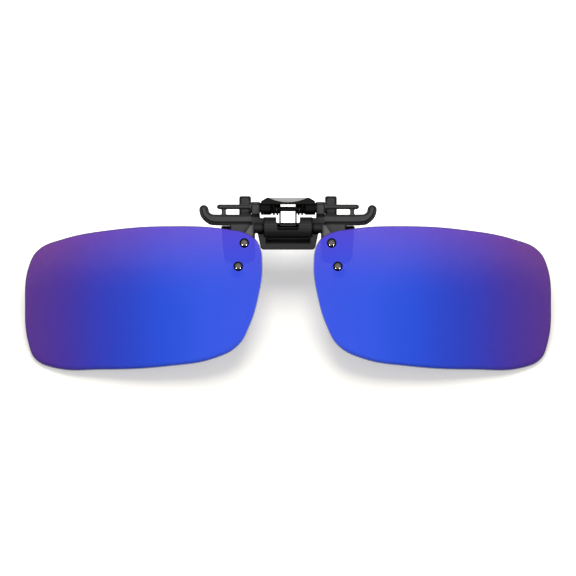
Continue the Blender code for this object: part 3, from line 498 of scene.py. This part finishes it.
def polish_hollow(mesh):
    """Weight up to HOLLOW_GLOSS by how far the normal leans up, above the lever's base and between its
    ends."""
    points = mesh_points(mesh) / MM
    normals = np.empty(len(points) * 3)
    mesh.vertex_normals.foreach_get("vector", normals)
    upward = np.clip((normals.reshape(-1, 3)[:, 2] - UPWARD_FROM) / (UPWARD_TO - UPWARD_FROM), 0, 1)
    inside = (points[:, 2] > HOLLOW_LOW_Z) & (np.abs(points[:, 0]) < HOLLOW_HALF_WIDTH)
    weight = HOLLOW_GLOSS * upward * inside
    mesh.attributes.new("polish", "FLOAT", "POINT").data.foreach_set("value", weight)
    return weight


def coat_where_polished(finish):
    """A clear coat on the finish, as strong as the polish attribute says."""
    tree = finish.node_tree
    shader = principled(finish)
    shader.inputs["Coat Roughness"].default_value = HOLLOW_COAT_ROUGHNESS
    feed(tree, shader.inputs["Coat Weight"], attribute(tree, "polish"))


coat_where_polished(jaw_moulding)
print("polished share of the jaw:", round(float(polish_hollow(jaw.data).mean()), 3))

# %% [markdown]
# ## Surfaces from arrays
# The other pieces are surfaces with a formula. Each is a grid of points: rows run across the surface and
# columns run round it. One function turns such a grid into a closed mesh, with a single point at each end.

# %% Grid to mesh
def grid_quads(rows, columns):
    """Quads between neighbouring rows; the last column joins the first."""
    row, column = np.meshgrid(np.arange(rows - 1), np.arange(columns), indexing="ij")
    ahead = (column + 1) % columns
    corners = [row * columns + column, row * columns + ahead,
               (row + 1) * columns + ahead, (row + 1) * columns + column]
    return np.stack(corners, axis=-1).reshape(-1, 4)


def closed_piece(name, grid, finish, body, node, marks=None):
    """Make a closed mesh of a grid of points in mm, shape (rows, columns, 3), with a pole at each end.
    marks gives attributes for the finish to read: a name and a value for each row, or for each point.
    A piece that bends between two bodies has None for its body."""
    rows, columns, _ = grid.shape
    poles = np.stack([grid[0].mean(axis=0), grid[-1].mean(axis=0)])
    points = np.concatenate([grid.reshape(-1, 3), poles]) * MM
    here = np.arange(columns)
    ahead = (here + 1) % columns
    first_pole, last_pole = rows * columns, rows * columns + 1
    last_row = (rows - 1) * columns
    fan = np.stack([here * 0 + first_pole, ahead, here], axis=1)
    end_fan = np.stack([here * 0 + last_pole, last_row + here, last_row + ahead], axis=1)
    mesh = bpy.data.meshes.new(name)
    faces = grid_quads(rows, columns).tolist() + fan.tolist() + end_fan.tolist()
    mesh.from_pydata(points.tolist(), [], faces)
    outward = bmesh.new()
    outward.from_mesh(mesh)
    bmesh.ops.recalc_face_normals(outward, faces=outward.faces)
    outward.to_mesh(mesh)
    outward.free()
    for mark, values in (marks or {}).items():
        spread = np.broadcast_to(values.reshape(rows, -1), (rows, columns))
        at_points = np.concatenate([spread.ravel(), spread[[0, -1], 0]])
        mesh.attributes.new(mark, "FLOAT", "POINT").data.foreach_set("value", at_points)
    mesh.shade_smooth()
    mesh.materials.append(finish)
    piece = bpy.data.objects.new(name, mesh)
    bpy.context.scene.collection.objects.link(piece)
    if body:
        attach(piece, body)
    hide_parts(node)
    return piece

# %% [markdown]
# ## Mirror finish of the lenses
# The lenses carry a thin metal coating that reflects blue. Towards the outer and upper edge, where the curved
# lens turns away from the eye, its reflection turns to violet; that turn of colour is a painted reflection
# colour. A mirror is a metal to the shader, so the colour is the reflection's. The turn of colour could be
# painted by hand; here a ramp of five colours runs from nose to temple on Object coordinates, and a second
# gradient reddens the top. The lens lets a little light through, which the alpha stands for.

# %% Material: mirror lens
NOSE_X, TEMPLE_X = 6.0, 66.0
WARM_FROM_Z, WARM_TO_Z = -16.0, 4.0
# The blue at the nose is the coating's own; the turn to violet outwards and the reddened top are painted
# reflection colour.
COATING = [(0.0, (0.045, 0.101, 0.87)), (0.25, (0.031, 0.103, 0.865)), (0.5, (0.019, 0.072, 0.715)),
           (0.75, (0.043, 0.039, 0.48)), (1.0, (0.104, 0.031, 0.285))]
WARM_TINT = (1, 0.7, 0.86, 1)
WARM_RED, RED_AT_NOSE = (0.158, 0.008, 0, 1), 0.5
# The pale colour of the rim towards the nose is partly painted highlight: it stands for light that the edge
# catches.
RIM_COLOUR, GROUND_GLINT_COLOUR = (0.1, 0.05, 0.3, 1), (0.62, 0.7, 1, 1)
COATED_ALPHA, GROUND_ALPHA = 0.84, 0.4
HAZE_SCALE, HAZE_DETAIL, HAZE_ROUGHNESS = 90.0, 2.0, (0.05, 0.1)


def coating_colour(tree, place):
    """A ramp of blues from nose to temple. Towards the top, by the square of the height, green and blue sink
    and red is added,
    more so outwards: painted reflection colour. The rim is dark, and pale where it is ground, a paleness that
    is also a painted highlight."""
    x, _, z = split_axes(tree, place)
    across = millimetre_range(tree, calculate(tree, "ABSOLUTE", x), NOSE_X, TEMPLE_X)
    ramp = add_node(tree, "ShaderNodeValToRGB", fac=across)
    ramp.color_ramp.interpolation = "CARDINAL"
    for position, _ in COATING[1:-1]:
        ramp.color_ramp.elements.new(position)
    for element, (position, colour) in zip(ramp.color_ramp.elements, COATING):
        element.position = position
        element.color = (*colour, 1)
    height = millimetre_range(tree, z, WARM_FROM_Z, WARM_TO_Z)
    warm = calculate(tree, "MULTIPLY", height, height)
    cooled = mix(tree, warm, ramp.outputs["Color"], WARM_TINT, "MULTIPLY")
    red_share = map_range(tree, across, 0.0, 1.0, RED_AT_NOSE)
    reddened = mix(tree, calculate(tree, "MULTIPLY", warm, red_share), cooled, WARM_RED, "ADD")
    darkened = mix(tree, attribute(tree, "rim"), reddened, RIM_COLOUR)
    return mix(tree, attribute(tree, "ground"), darkened, GROUND_GLINT_COLOUR)


def mirror_lens_finish():
    """A polished metal with the coating's colour, but bare plastic on the rim. Alpha lets the pads behind
    show faintly, and light through the ground part of the rim."""
    made = new_material("mirror_lens_coating")
    tree = made.node_tree
    shader = principled(made)
    place = object_place(tree)
    feed(tree, shader.inputs["Base Color"], coating_colour(tree, place))
    cover = map_range(tree, attribute(tree, "ground"), 0.0, 1.0, COATED_ALPHA, GROUND_ALPHA)
    feed(tree, shader.inputs["Alpha"], cover)
    feed(tree, shader.inputs["Metallic"], calculate(tree, "SUBTRACT", 1.0, attribute(tree, "rim")))
    haze = noise(tree, place, HAZE_SCALE, HAZE_DETAIL)
    feed(tree, shader.inputs["Roughness"], map_range(tree, haze, 0.0, 1.0, *HAZE_ROUGHNESS))
    return made


mirror_lens = mirror_lens_finish()
print("material:", mirror_lens.name)

# %% [markdown]
# ## Lenses
# Each lens is cut from a shallow dome of polycarbonate and its edge is ground round. The CAD lens has the
# same outline and dome with fewer facets. Here the outline is a smooth closed curve; the rows of the grid
# run from the middle of the front face out to the edge, round the edge, and back to the middle behind.

# %% Lens outline
LENS_WIDTH, LENS_HEIGHT = 59.9, 36.2
LENS_INNER_X, LENS_TOP_Z = 6.34, 3.53
LENS_OUTLINE = np.array([
    (0.0, 0.263), (0.016, 0.125), (0.055, 0.062), (0.154, 0.021), (0.376, 0.0), (0.635, 0.026),
    (0.851, 0.095), (0.940, 0.160), (0.978, 0.251), (1.0, 0.573), (0.986, 0.811), (0.954, 0.929),
    (0.878, 0.988), (0.677, 1.0), (0.398, 0.976), (0.198, 0.918), (0.103, 0.832), (0.055, 0.697),
    (0.018, 0.501),
])
HANDLE_SHARE = 1 / 2.5614
POINTS_PER_SPAN = 12


def smooth_closed_curve(anchors, per_span):
    """Cubic Bezier spans through the anchors. At each anchor the tangent is the sum of the unit steps from
    and to its neighbours, and a handle reaches the neighbour's distance times HANDLE_SHARE."""
    ahead = np.roll(anchors, -1, axis=0) - anchors
    reach = np.linalg.norm(ahead, axis=1, keepdims=True)
    step = ahead / reach
    tangent = step + np.roll(step, 1, axis=0)
    tangent /= np.linalg.norm(tangent, axis=1, keepdims=True)
    leaving = anchors + tangent * reach * HANDLE_SHARE
    arriving = np.roll(anchors - tangent * np.roll(reach, 1, axis=0) * HANDLE_SHARE, -1, axis=0)
    following = np.roll(anchors, -1, axis=0)
    t = np.linspace(0, 1, per_span, endpoint=False)[None, :, None]
    spans = ((1 - t) ** 3 * anchors[:, None] + 3 * (1 - t) ** 2 * t * leaving[:, None]
             + 3 * (1 - t) * t ** 2 * arriving[:, None] + t ** 3 * following[:, None])
    return spans.reshape(-1, 2)


def outline_normals(outline):
    """Unit normals of a closed outline, pointing away from its middle."""
    along = np.roll(outline, -1, axis=0) - np.roll(outline, 1, axis=0)
    normal = np.stack([along[:, 1], -along[:, 0]], axis=1)
    normal /= np.linalg.norm(normal, axis=1, keepdims=True)
    outward = np.sum(normal * (outline - outline.mean(axis=0)))
    return normal * np.sign(outward)


corner = np.array([LENS_INNER_X, LENS_TOP_Z])
lens_anchors = corner + LENS_OUTLINE * np.array([LENS_WIDTH, -LENS_HEIGHT])
lens_edge = smooth_closed_curve(lens_anchors, POINTS_PER_SPAN)
print("lens outline points:", len(lens_edge))

# %% Lens grid
LENS_THICKNESS = 0.9
LENS_FRONT_Y = -5.18
LENS_RADIUS = 200.0
LENS_APEX = np.array([12.0, -9.0])
EDGE_ROUND = 0.25
LENS_ROWS = 18
EDGE_ROWS = 9
FIRST_SHARE = 0.02
RIM_COVER = 0.9
TOWARDS_NOSE, GROUND_GLINT_SPREAD = np.array([-0.64, -0.77]), 2


def pillow_rows(face_rows, edge_round):
    """Rows of a slab with a round edge: (share of the outline, inset in mm, place through the slab 0..1)."""
    share = np.linspace(FIRST_SHARE, 1, face_rows)
    turn = np.linspace(0, np.pi, EDGE_ROWS)[1:-1]
    shares = np.concatenate([share, np.ones(len(turn)), share[::-1]])
    inset = np.concatenate([np.full(face_rows, edge_round), edge_round * (1 - np.sin(turn)),
                            np.full(face_rows, edge_round)])
    through = np.concatenate([np.zeros(face_rows), (1 - np.cos(turn)) / 2, np.ones(face_rows)])
    return shares, inset, through


def lens_grid(side):
    """Front face, round edge and back face; depth is the dome's sag, the squared distance from the apex
    over twice the radius, plus the place through the thickness."""
    shares, inset, through = pillow_rows(LENS_ROWS, EDGE_ROUND)
    pulled_in = lens_edge[None] - outline_normals(lens_edge)[None] * inset[:, None, None]
    middle = lens_edge.mean(axis=0)
    flat = middle + (pulled_in - middle) * shares[:, None, None]
    sag = np.sum((flat - LENS_APEX) ** 2, axis=-1) / (2 * LENS_RADIUS)
    depth = LENS_FRONT_Y + sag + through[:, None] * LENS_THICKNESS
    return np.stack([side * flat[..., 0], depth, flat[..., 1]], axis=-1)


through = pillow_rows(LENS_ROWS, EDGE_ROUND)[2]
rim = ((through > 0) & (through < 1)) * RIM_COVER
# The pale rim faces the nose and the bottom only: ground plastic that lets light through, and a painted
# highlight where the edge catches light.
towards_nose = np.clip(outline_normals(lens_edge) @ TOWARDS_NOSE * GROUND_GLINT_SPREAD, 0, 1)
for side_name, side in SIDES.items():
    node = side_name + "_lens"
    lens = closed_piece(node + "_mirror", lens_grid(side), mirror_lens, "lens_flip", node,
                        {"rim": rim, "ground": rim[:, None] * towards_nose})
    print(lens.name, "faces:", len(lens.data.polygons))

# %% [markdown]
# ## Screws and nuts
# Four tiny domed screws hold the lenses to the arms, each with a hexagon nut behind. A screw is a profile
# turned round its axis. A nut is the same grid with a radius that depends on the angle: a hexagon, cut
# down near both faces by the cone that a real nut is chamfered with.

# %% Turned pieces
def turned_grid(radius, along, centre, axis, sides=48):
    """Profile (radius, along) turned round an axis through centre: two coordinates follow cosine and sine."""
    angle = np.linspace(0, 2 * np.pi, sides, endpoint=False)
    first = radius[:, None] * np.cos(angle)
    second = radius[:, None] * np.sin(angle)
    length = np.broadcast_to(along[:, None], first.shape)
    if axis == "X":
        return np.stack([length, centre[0] + first, centre[1] + second], axis=-1)
    return np.stack([centre[0] + first, length, centre[1] + second], axis=-1)


SCREW_POINTS = {"upper": (10.97, -0.75), "lower": (12.5, -6.6)}
HEAD_RADIUS, HEAD_HEIGHT, HEAD_RIM = 1.22, 0.75, 0.15
SHANK_RADIUS = 0.6
RIM_BREAK, UNDERCUT, POINT_BREAK = 0.05, 0.02, 0.1
POINT_RADIUS = 0.05
DOME_START, DOME_ROWS = 0.04, 14


def screw_profile(node):
    """Dome, rim, underside and shank; the dome is a quarter ellipse from the tip to the rim."""
    low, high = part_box(node)
    tip_y, end_y = low[1] / MM, high[1] / MM
    turn = np.linspace(DOME_START, np.pi / 2, DOME_ROWS)
    dome_radius = HEAD_RADIUS * np.sin(turn)
    dome_along = tip_y + (HEAD_HEIGHT - HEAD_RIM) * (1 - np.cos(turn))
    under = tip_y + HEAD_HEIGHT
    radius = [HEAD_RADIUS, HEAD_RADIUS - RIM_BREAK, SHANK_RADIUS + UNDERCUT, SHANK_RADIUS, SHANK_RADIUS,
              SHANK_RADIUS - POINT_BREAK, POINT_RADIUS]
    along = [under - RIM_BREAK, under, under, under + UNDERCUT, end_y - POINT_BREAK, end_y, end_y]
    return np.concatenate([dome_radius, radius]), np.concatenate([dome_along, along])


screw_domes = bpy.data.collections.new("screw_domes")
for side_name, side in SIDES.items():
    for level, (x, z) in SCREW_POINTS.items():
        node = f"{side_name}_{level}_screw"
        radius, along = screw_profile(node)
        crown = np.where(along < along[0] + HEAD_HEIGHT, 1 - radius / HEAD_RADIUS, 0.0)
        grid = turned_grid(radius, along, (side * x, z), "Y")
        dome = closed_piece(node + "_dome", grid, screw_dome_finish, "lens_flip", node,
                            {"crown": crown})
        screw_domes.objects.link(dome)

# %% Nuts
NUT_FLATS = 2.3
NUT_CONE = 0.9
BORE_SHARE = 0.55
NUT_ROWS = np.array([0, 0, 0.06, 0.14, 0.22, 0.5, 0.78, 0.86, 0.94, 1, 1])


def nut_grid(low_y, high_y, centre, sides=96):
    """Radius at an angle: the hexagon's half flats over the cosine of the angle to the nearest flat,
    but no more than a cone that narrows towards both faces; the bore is closed by the screw."""
    angle = np.linspace(0, 2 * np.pi, sides, endpoint=False)
    from_flat = (angle + np.pi / 6) % (np.pi / 3) - np.pi / 6
    hexagon = NUT_FLATS / 2 / np.cos(from_flat)
    share = np.ones(len(NUT_ROWS))
    share[[0, -1]] = BORE_SHARE
    depth = np.minimum(NUT_ROWS, 1 - NUT_ROWS) * (high_y - low_y)
    cone = NUT_FLATS / 2 + depth * NUT_CONE
    radius = np.minimum(hexagon[None], cone[:, None]) * share[:, None]
    y = np.broadcast_to((low_y + NUT_ROWS * (high_y - low_y))[:, None], radius.shape)
    return np.stack([centre[0] + radius * np.cos(angle), y, centre[1] + radius * np.sin(angle)], axis=-1)


for side_name, side in SIDES.items():
    for level, (x, z) in SCREW_POINTS.items():
        node = f"{side_name}_{level}_nut"
        low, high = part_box(node)
        grid = nut_grid(low[1] / MM, high[1] / MM, (side * x, z))
        closed_piece(node + "_hex", grid, nut_gunmetal, "lens_flip", node)
print("nuts:", len(SIDES) * len(SCREW_POINTS))

# %% [markdown]
# ## Pins
# The pivot pin and the flip axle are drawn steel. The pin's ends are slightly domed, so it is turned from a
# profile. The axle's CAD solid already has the two flats that the spring clicks on, and it hides in the
# barrel, so it stays and only takes the finish.

# %% Pivot pin and flip axle
PIN_RADIUS = 0.6
PIN_ROUND = 0.2
PIN_END_START, PIN_END_ROWS, PIN_ROWS = 0.1, 8, 12


def pin_profile(low_x, high_x):
    """A straight rod whose ends close in a quarter ellipse."""
    turn = np.linspace(PIN_END_START, np.pi / 2, PIN_END_ROWS)
    radius = (PIN_RADIUS - PIN_ROUND) + PIN_ROUND * np.sin(turn)
    radius[0] = PIN_RADIUS / 4
    start = low_x + PIN_ROUND * (1 - np.sin(turn[::-1]))[::-1]
    body = np.linspace(low_x + PIN_ROUND, high_x - PIN_ROUND, PIN_ROWS)
    end = high_x - (start - low_x)
    radii = np.concatenate([radius, np.full(len(body), PIN_RADIUS), radius[::-1]])
    return radii, np.concatenate([start, body, end[::-1]])


low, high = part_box("pivot_pin")
pin_centre = ((low[1] + high[1]) / 2 / MM, (low[2] + high[2]) / 2 / MM)
grid = turned_grid(*pin_profile(low[0] / MM, high[0] / MM), pin_centre, "X")
closed_piece("pivot_pin_turned", grid, pin_steel, "clip_body", "pivot_pin")
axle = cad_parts["flip_axle"]
for material_slot in axle.material_slots:
    material_slot.material = pin_steel
print("pin centre (y, z):", [round(value, 2) for value in pin_centre])

# %% [markdown]
# ## Spring
# One wire is bent into a double torsion spring. It runs over the flip axle, up both legs, round the coils on
# the pivot and ends under the lever. A curve with a bevel would do, but the path is known as arrays, so the
# tube is too: a circle carried along the path, standing on a direction that is square to the wire. The lever
# winds the spring as it goes down, so in the real clip the upper ends of the wire turn with the jaw and the
# rest stays; here the wire is made in its rest shape and belongs to no body.

# %% Spring path
PIVOT_Y, PIVOT_Z = -1.5, 7.81
FLIP_Y, FLIP_Z = -4.22, 3.0
WIRE_RADIUS = 0.21
COIL_RADIUS, COIL_PITCH, COIL_START_X = 1.42, 0.88, 2.0
COIL_ANGLE = math.radians(360 + 310)
LOOP_REACH = 0.686
LOOP_BEND = 0.4
LEVER_UNDERSIDE_Z, LEVER_GAP = 8.95, 0.06
LEG_END_Z = LEVER_UNDERSIDE_Z - WIRE_RADIUS - LEVER_GAP
WIRE_END_SHARE = 0.55
BEND_POINTS, COIL_POINTS = 8, 90


def half_spring():
    """Half of the wire's centre line from the middle of the loop to the end under the lever, with for each
    point a direction across the wire: square to the loop's plane on the legs, radial on the coil."""
    loop = np.array([0.0, FLIP_Y - LOOP_REACH, FLIP_Z + LOOP_REACH])
    coil_start = np.array([COIL_START_X, PIVOT_Y - COIL_RADIUS, PIVOT_Z])
    corner = loop + (COIL_START_X, 0, 0)
    climb = (coil_start - corner) / np.linalg.norm(coil_start - corner)
    t = np.linspace(0, 1, BEND_POINTS)[:, None]
    first, last = corner - (LOOP_BEND, 0, 0), corner + climb * LOOP_BEND
    bend = (1 - t) ** 2 * first + 2 * t * (1 - t) * corner + t ** 2 * last
    angle = np.linspace(0, COIL_ANGLE, COIL_POINTS)
    coil = np.stack([COIL_START_X + COIL_PITCH * angle / (2 * np.pi),
                     PIVOT_Y - COIL_RADIUS * np.cos(angle), PIVOT_Z + COIL_RADIUS * np.sin(angle)], axis=1)
    leave = np.array([0, math.sin(COIL_ANGLE), math.cos(COIL_ANGLE)])
    leg_end = coil[-1] + leave * (LEG_END_Z - coil[-1, 2]) / leave[2]
    path = np.concatenate([[loop], bend, coil, [leg_end]])
    across_leg = np.cross((1, 0, 0), climb)
    radial = np.stack([0 * angle, -np.cos(angle), np.sin(angle)], axis=1)
    across = np.concatenate([np.tile(across_leg, (1 + len(bend), 1)), radial, radial[-1:]])
    return path, across


def whole_spring(spacing=0.12, rounds=3):
    """Both halves as one wire, points evenly spaced, and each point then moved to the mean of itself and
    its neighbours a few times, which turns kinks into bends."""
    path, across = half_spring()
    mirror = np.array([-1, 1, 1])
    wire = np.concatenate([np.hstack([path, across])[:0:-1] * np.tile(mirror, 2), np.hstack([path, across])])
    travelled = np.concatenate([[0], np.cumsum(np.linalg.norm(np.diff(wire[:, :3], axis=0), axis=1))])
    even = np.linspace(0, travelled[-1], round(travelled[-1] / spacing))
    wire = np.stack([np.interp(even, travelled, column) for column in wire.T], axis=1)
    for _ in range(rounds):
        wire[1:-1] = (wire[:-2] + 2 * wire[1:-1] + wire[2:]) / 4
    return wire[:, :3], wire[:, 3:], travelled[-1]


def wire_tube(path, across, radius, sides=14):
    """A circle on each point of the path, in the plane square to the path; both ends close to a dome."""
    tangent = np.gradient(path, axis=0)
    tangent /= np.linalg.norm(tangent, axis=1, keepdims=True)
    first = across - tangent * np.sum(across * tangent, axis=1, keepdims=True)
    first /= np.linalg.norm(first, axis=1, keepdims=True)
    second = np.cross(tangent, first)
    angle = np.linspace(0, 2 * np.pi, sides, endpoint=False)
    thickness = np.full(len(path), radius)
    thickness[[0, -1]] = radius * WIRE_END_SHARE
    ring = np.cos(angle)[None, :, None] * first[:, None] + np.sin(angle)[None, :, None] * second[:, None]
    return path[:, None] + ring * thickness[:, None, None]


spring_path, spring_across, wire_length = whole_spring()
spring_grid = wire_tube(spring_path, spring_across, WIRE_RADIUS)
clamp_spring_wire = closed_piece(
    "clamp_spring_wire", spring_grid, spring_wire, None, "clamp_spring")
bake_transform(clamp_spring_wire)
print("spring wire length:", round(wire_length, 1), "mm")

# %% [markdown]
# ## Soft pads
# Four rubber pads hold the spectacles. Each is a thin block with rounded edges, and its gripping face has
# shallow grooves, so that it holds on glass. The rows run like those of a lens; the grooves are a squared
# sine of the height, which fades out towards the rim.

# %% Pads
CORNER_POINTS = 9


def rounded_outline(corners, radii, count):
    """Closed outline whose corners are cut by their radius and bent by a quadratic curve, evenly spaced."""
    corners = np.array(corners)
    radii = np.array(radii)[:, None]
    to_last = np.roll(corners, 1, axis=0) - corners
    to_next = np.roll(corners, -1, axis=0) - corners
    start = corners + to_last / np.linalg.norm(to_last, axis=1, keepdims=True) * radii
    end = corners + to_next / np.linalg.norm(to_next, axis=1, keepdims=True) * radii
    t = np.linspace(0, 1, CORNER_POINTS)[None, :, None]
    bends = (1 - t) ** 2 * start[:, None] + 2 * t * (1 - t) * corners[:, None] + t ** 2 * end[:, None]
    loop = bends.reshape(-1, 2)
    closed = np.vstack([loop, loop[:1]])
    travelled = np.concatenate([[0], np.cumsum(np.linalg.norm(np.diff(closed, axis=0), axis=1))])
    even = np.linspace(0, travelled[-1], count, endpoint=False)
    return np.stack([np.interp(even, travelled, column) for column in closed.T], axis=1)


PAD_CORNERS = [0.4, 0.4, 2.2, 2.2]
PAD_ROUND = 0.28
PAD_ROWS, PAD_COLUMNS = 30, 144
GROOVE_DEPTH, GROOVE_PITCH, GROOVE_FADE = 0.14, 1.15, 0.1
FRONT_TAPER, REAR_TAPER = 0.0, 0.9


def pad_grid(node, taper, grip_through, side):
    """A slab between the node's faces with a round edge; grip_through says which face carries grooves."""
    low, high = (np.array(corner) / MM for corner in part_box(node))
    inner, outer = sorted((abs(low[0]), abs(high[0])))
    corners = [(inner, high[2]), (outer, high[2]), (outer - taper, low[2]), (inner, low[2])]
    outline = rounded_outline(corners, PAD_CORNERS, PAD_COLUMNS)
    thickness = high[1] - low[1]
    shares, inset, through = pillow_rows(PAD_ROWS, PAD_ROUND)
    middle = outline.mean(axis=0)
    pulled_in = outline[None] - outline_normals(outline)[None] * inset[:, None, None]
    flat = middle + (pulled_in - middle) * shares[:, None, None]
    fade = np.clip((1 - shares) / GROOVE_FADE, 0, 1) * (through == grip_through)
    groove = GROOVE_DEPTH * np.sin(np.pi * flat[..., 1] / GROOVE_PITCH) ** 2 * fade[:, None]
    inward = 1 - 2 * grip_through
    depth = low[1] + through[:, None] * thickness + inward * groove
    return np.stack([side * flat[..., 0], depth, flat[..., 1]], axis=-1)


PADS = [("front", "clip_body", FRONT_TAPER, 1), ("rear", "rear_jaw", REAR_TAPER, 0)]
for side_name, side in SIDES.items():
    for place, body, taper, grip_through in PADS:
        node = f"{side_name}_{place}_pad"
        grid = pad_grid(node, taper, grip_through, side)
        pad = closed_piece(node + "_rubber", grid, soft_rubber, body, node)
print("pads:", len(SIDES) * len(PADS))

# %% [markdown]
# ## The surface it lies on
# The lenses were photographed lying on a white surface, seen straight from above. In the part's own frame
# that surface stands behind the clip and leans, so that the lower corners of the lenses nearly touch it and
# the open jaw stays clear of it. It is plain and pale, keeps the soft shadow below the lenses, and is white
# elsewhere. From behind it is clear, so it never hides the part.

# %% Stage
STAGE_Y = 12.9
STAGE_LEAN = 0.3
STAGE_HALF = 130.0
PAPER_COLOUR = (0.89, 0.855, 0.77, 1)
PAPER_GLOW = 0.42
CLIP_GLOW = 0.6
CLIP_GLOW_FROM_Z = (-8.0, 3.5)
MIRRORED_FROM_Z = (7.0, 12.0)
MIRRORED_TO_X = (7.0, 12.0)
MIRRORED_WITHIN = (24.0, 36.0)
MIRRORED_LOSS = 0.85


def stage_material():
    """White paper that takes the shadow. Camera rays also see a faint glow, stronger behind the clip, that
    lifts lit paper to plain white. Mirror rays see dim paper, and the lever a white patch above it."""
    made = new_material("stage_paper")
    tree = made.node_tree
    tree.nodes.clear()
    ray = add_node(tree, "ShaderNodeLightPath").outputs
    behind = add_node(tree, "ShaderNodeNewGeometry").outputs["Backfacing"]
    x, _, z = split_axes(tree, object_place(tree))
    seen = calculate(tree, "MAXIMUM", ray["Is Camera Ray"], ray["Is Transmission Ray"])
    near_clip = millimetre_range(tree, z, *CLIP_GLOW_FROM_Z)
    lift = calculate(tree, "MULTIPLY_ADD", near_clip, CLIP_GLOW, PAPER_GLOW)
    above = millimetre_range(tree, z, *MIRRORED_FROM_Z)
    beside = millimetre_range(tree, calculate(tree, "ABSOLUTE", x), *MIRRORED_TO_X)
    far = millimetre_range(tree, ray["Ray Length"], *MIRRORED_WITHIN)
    patch = calculate(tree, "SUBTRACT", above, calculate(tree, "MAXIMUM", beside, far), clamp=True)
    mirrored = calculate(tree, "MULTIPLY", patch, ray["Is Glossy Ray"])
    strength = calculate(tree, "ADD", calculate(tree, "MULTIPLY", seen, lift), mirrored)
    in_front = calculate(tree, "SUBTRACT", 1.0, behind)
    glow = add_node(tree, "ShaderNodeEmission", strength=calculate(tree, "MULTIPLY", strength, in_front))
    paper = add_node(tree, "ShaderNodeBsdfDiffuse")
    paper.inputs["Color"].default_value = PAPER_COLOUR
    clear = add_node(tree, "ShaderNodeBsdfTransparent")
    unseen = calculate(tree, "MULTIPLY_ADD", ray["Is Glossy Ray"], MIRRORED_LOSS, behind, clamp=True)
    sheet = add_node(tree, "ShaderNodeMixShader", fac=unseen)
    feed(tree, sheet.inputs[1], paper.outputs[0])
    feed(tree, sheet.inputs[2], clear.outputs[0])
    both = add_node(tree, "ShaderNodeAddShader")
    feed(tree, both.inputs[0], sheet.outputs[0])
    feed(tree, both.inputs[1], glow.outputs[0])
    add_node(tree, "ShaderNodeOutputMaterial", surface=both.outputs[0])
    return made


stage_corners = np.array([(-1, -1), (1, -1), (1, 1), (-1, 1)]) * STAGE_HALF
stage_points = np.insert(stage_corners, 1, STAGE_Y + STAGE_LEAN * stage_corners[:, 1], axis=1) * MM
stage_mesh = bpy.data.meshes.new("stage_surface")
stage_mesh.from_pydata(stage_points.tolist(), [], [(0, 1, 2, 3)])
stage_mesh.materials.append(stage_material())
stage_surface = bpy.data.objects.new("stage_surface", stage_mesh)
bpy.context.scene.collection.objects.link(stage_surface)
print("stage normal:", tuple(round(value, 2) for value in stage_mesh.polygons[0].normal))

# %% [markdown]
# ## Light
# A white room lights the clip evenly, a broad lamp above and in front casts the soft shadow on the paper,
# and two small lamps low at the sides make the two bright dots on the domed screws.

# %% World and lamps
ROOM_LIGHT = 0.4
LOW_ROOM = 0.14
LOW_ROOM_TO_Z = (-0.75, -0.2)
SIDE_ROOM = 0.35
SIDE_ROOM_TO_Y = (-0.3, -0.75)
TOP_LAMP_PLACE, TOP_LAMP_SIZE, TOP_LAMP_POWER = (0.0, -0.82, 0.74), 0.5, 7.2
DOT_LAMP_PLACE, DOT_LAMP_SIZE, DOT_LAMP_POWER = (0.41, -0.69, -0.41), 0.12, 5.0


def white_room():
    """White for what is seen directly or in a mirror, a plain grey level for the light that falls; both
    sink towards LOW_ROOM far below, where a table in front of the lenses would be. What is mirrored sinks
    towards SIDE_ROOM away from the front, so that rounded edges stand out dark."""
    world = bpy.data.worlds.new("white_room")
    world.use_nodes = True
    tree = world.node_tree
    background = tree.nodes["Background"]
    background.inputs["Color"].default_value = (1, 1, 1, 1)
    ray = add_node(tree, "ShaderNodeLightPath").outputs
    direct = calculate(tree, "MAXIMUM", ray["Is Camera Ray"], ray["Is Glossy Ray"])
    seen = calculate(tree, "MAXIMUM", direct, ray["Is Transmission Ray"])
    level = map_range(tree, seen, 0.0, 1.0, ROOM_LIGHT)
    _, y, z = split_axes(tree, add_node(tree, "ShaderNodeTexCoord").outputs["Generated"])
    low = map_range(tree, z, *LOW_ROOM_TO_Z, LOW_ROOM, curve="SMOOTHSTEP")
    lit = calculate(tree, "MULTIPLY", level, calculate(tree, "MAXIMUM", low, ray["Is Camera Ray"]))
    ahead = map_range(tree, y, *SIDE_ROOM_TO_Y, SIDE_ROOM, curve="SMOOTHSTEP")
    not_mirrored = calculate(tree, "SUBTRACT", 1.0, ray["Is Glossy Ray"])
    flagged = calculate(tree, "MULTIPLY", lit, calculate(tree, "MAXIMUM", ahead, not_mirrored))
    feed(tree, background.inputs["Strength"], flagged)
    return world


def lamp(name, place, size, power):
    """A square lamp at a place in metres, turned so that its face looks at the middle of the clip."""
    data = bpy.data.lights.new(name, "AREA")
    data.size = size
    data.energy = power
    light = bpy.data.objects.new(name, data)
    light.location = place
    direction = -np.array(place)
    yaw = math.atan2(direction[1], direction[0]) - math.pi / 2
    pitch = math.atan2(direction[2], math.hypot(direction[0], direction[1])) + math.pi / 2
    light.rotation_euler = (pitch, 0, yaw)
    bpy.context.scene.collection.objects.link(light)
    return light


bpy.context.scene.world = white_room()
bpy.context.scene.view_settings.view_transform = "Standard"
top_lamp = lamp("top_lamp", TOP_LAMP_PLACE, TOP_LAMP_SIZE, TOP_LAMP_POWER)
top_lamp.visible_glossy = False
for side_name, side in SIDES.items():
    dot_place = (side * DOT_LAMP_PLACE[0], *DOT_LAMP_PLACE[1:])
    dot_lamp = lamp(side_name + "_dot_lamp", dot_place, DOT_LAMP_SIZE, DOT_LAMP_POWER)
    dot_lamp.light_linking.receiver_collection = screw_domes
print("room level:", ROOM_LIGHT)
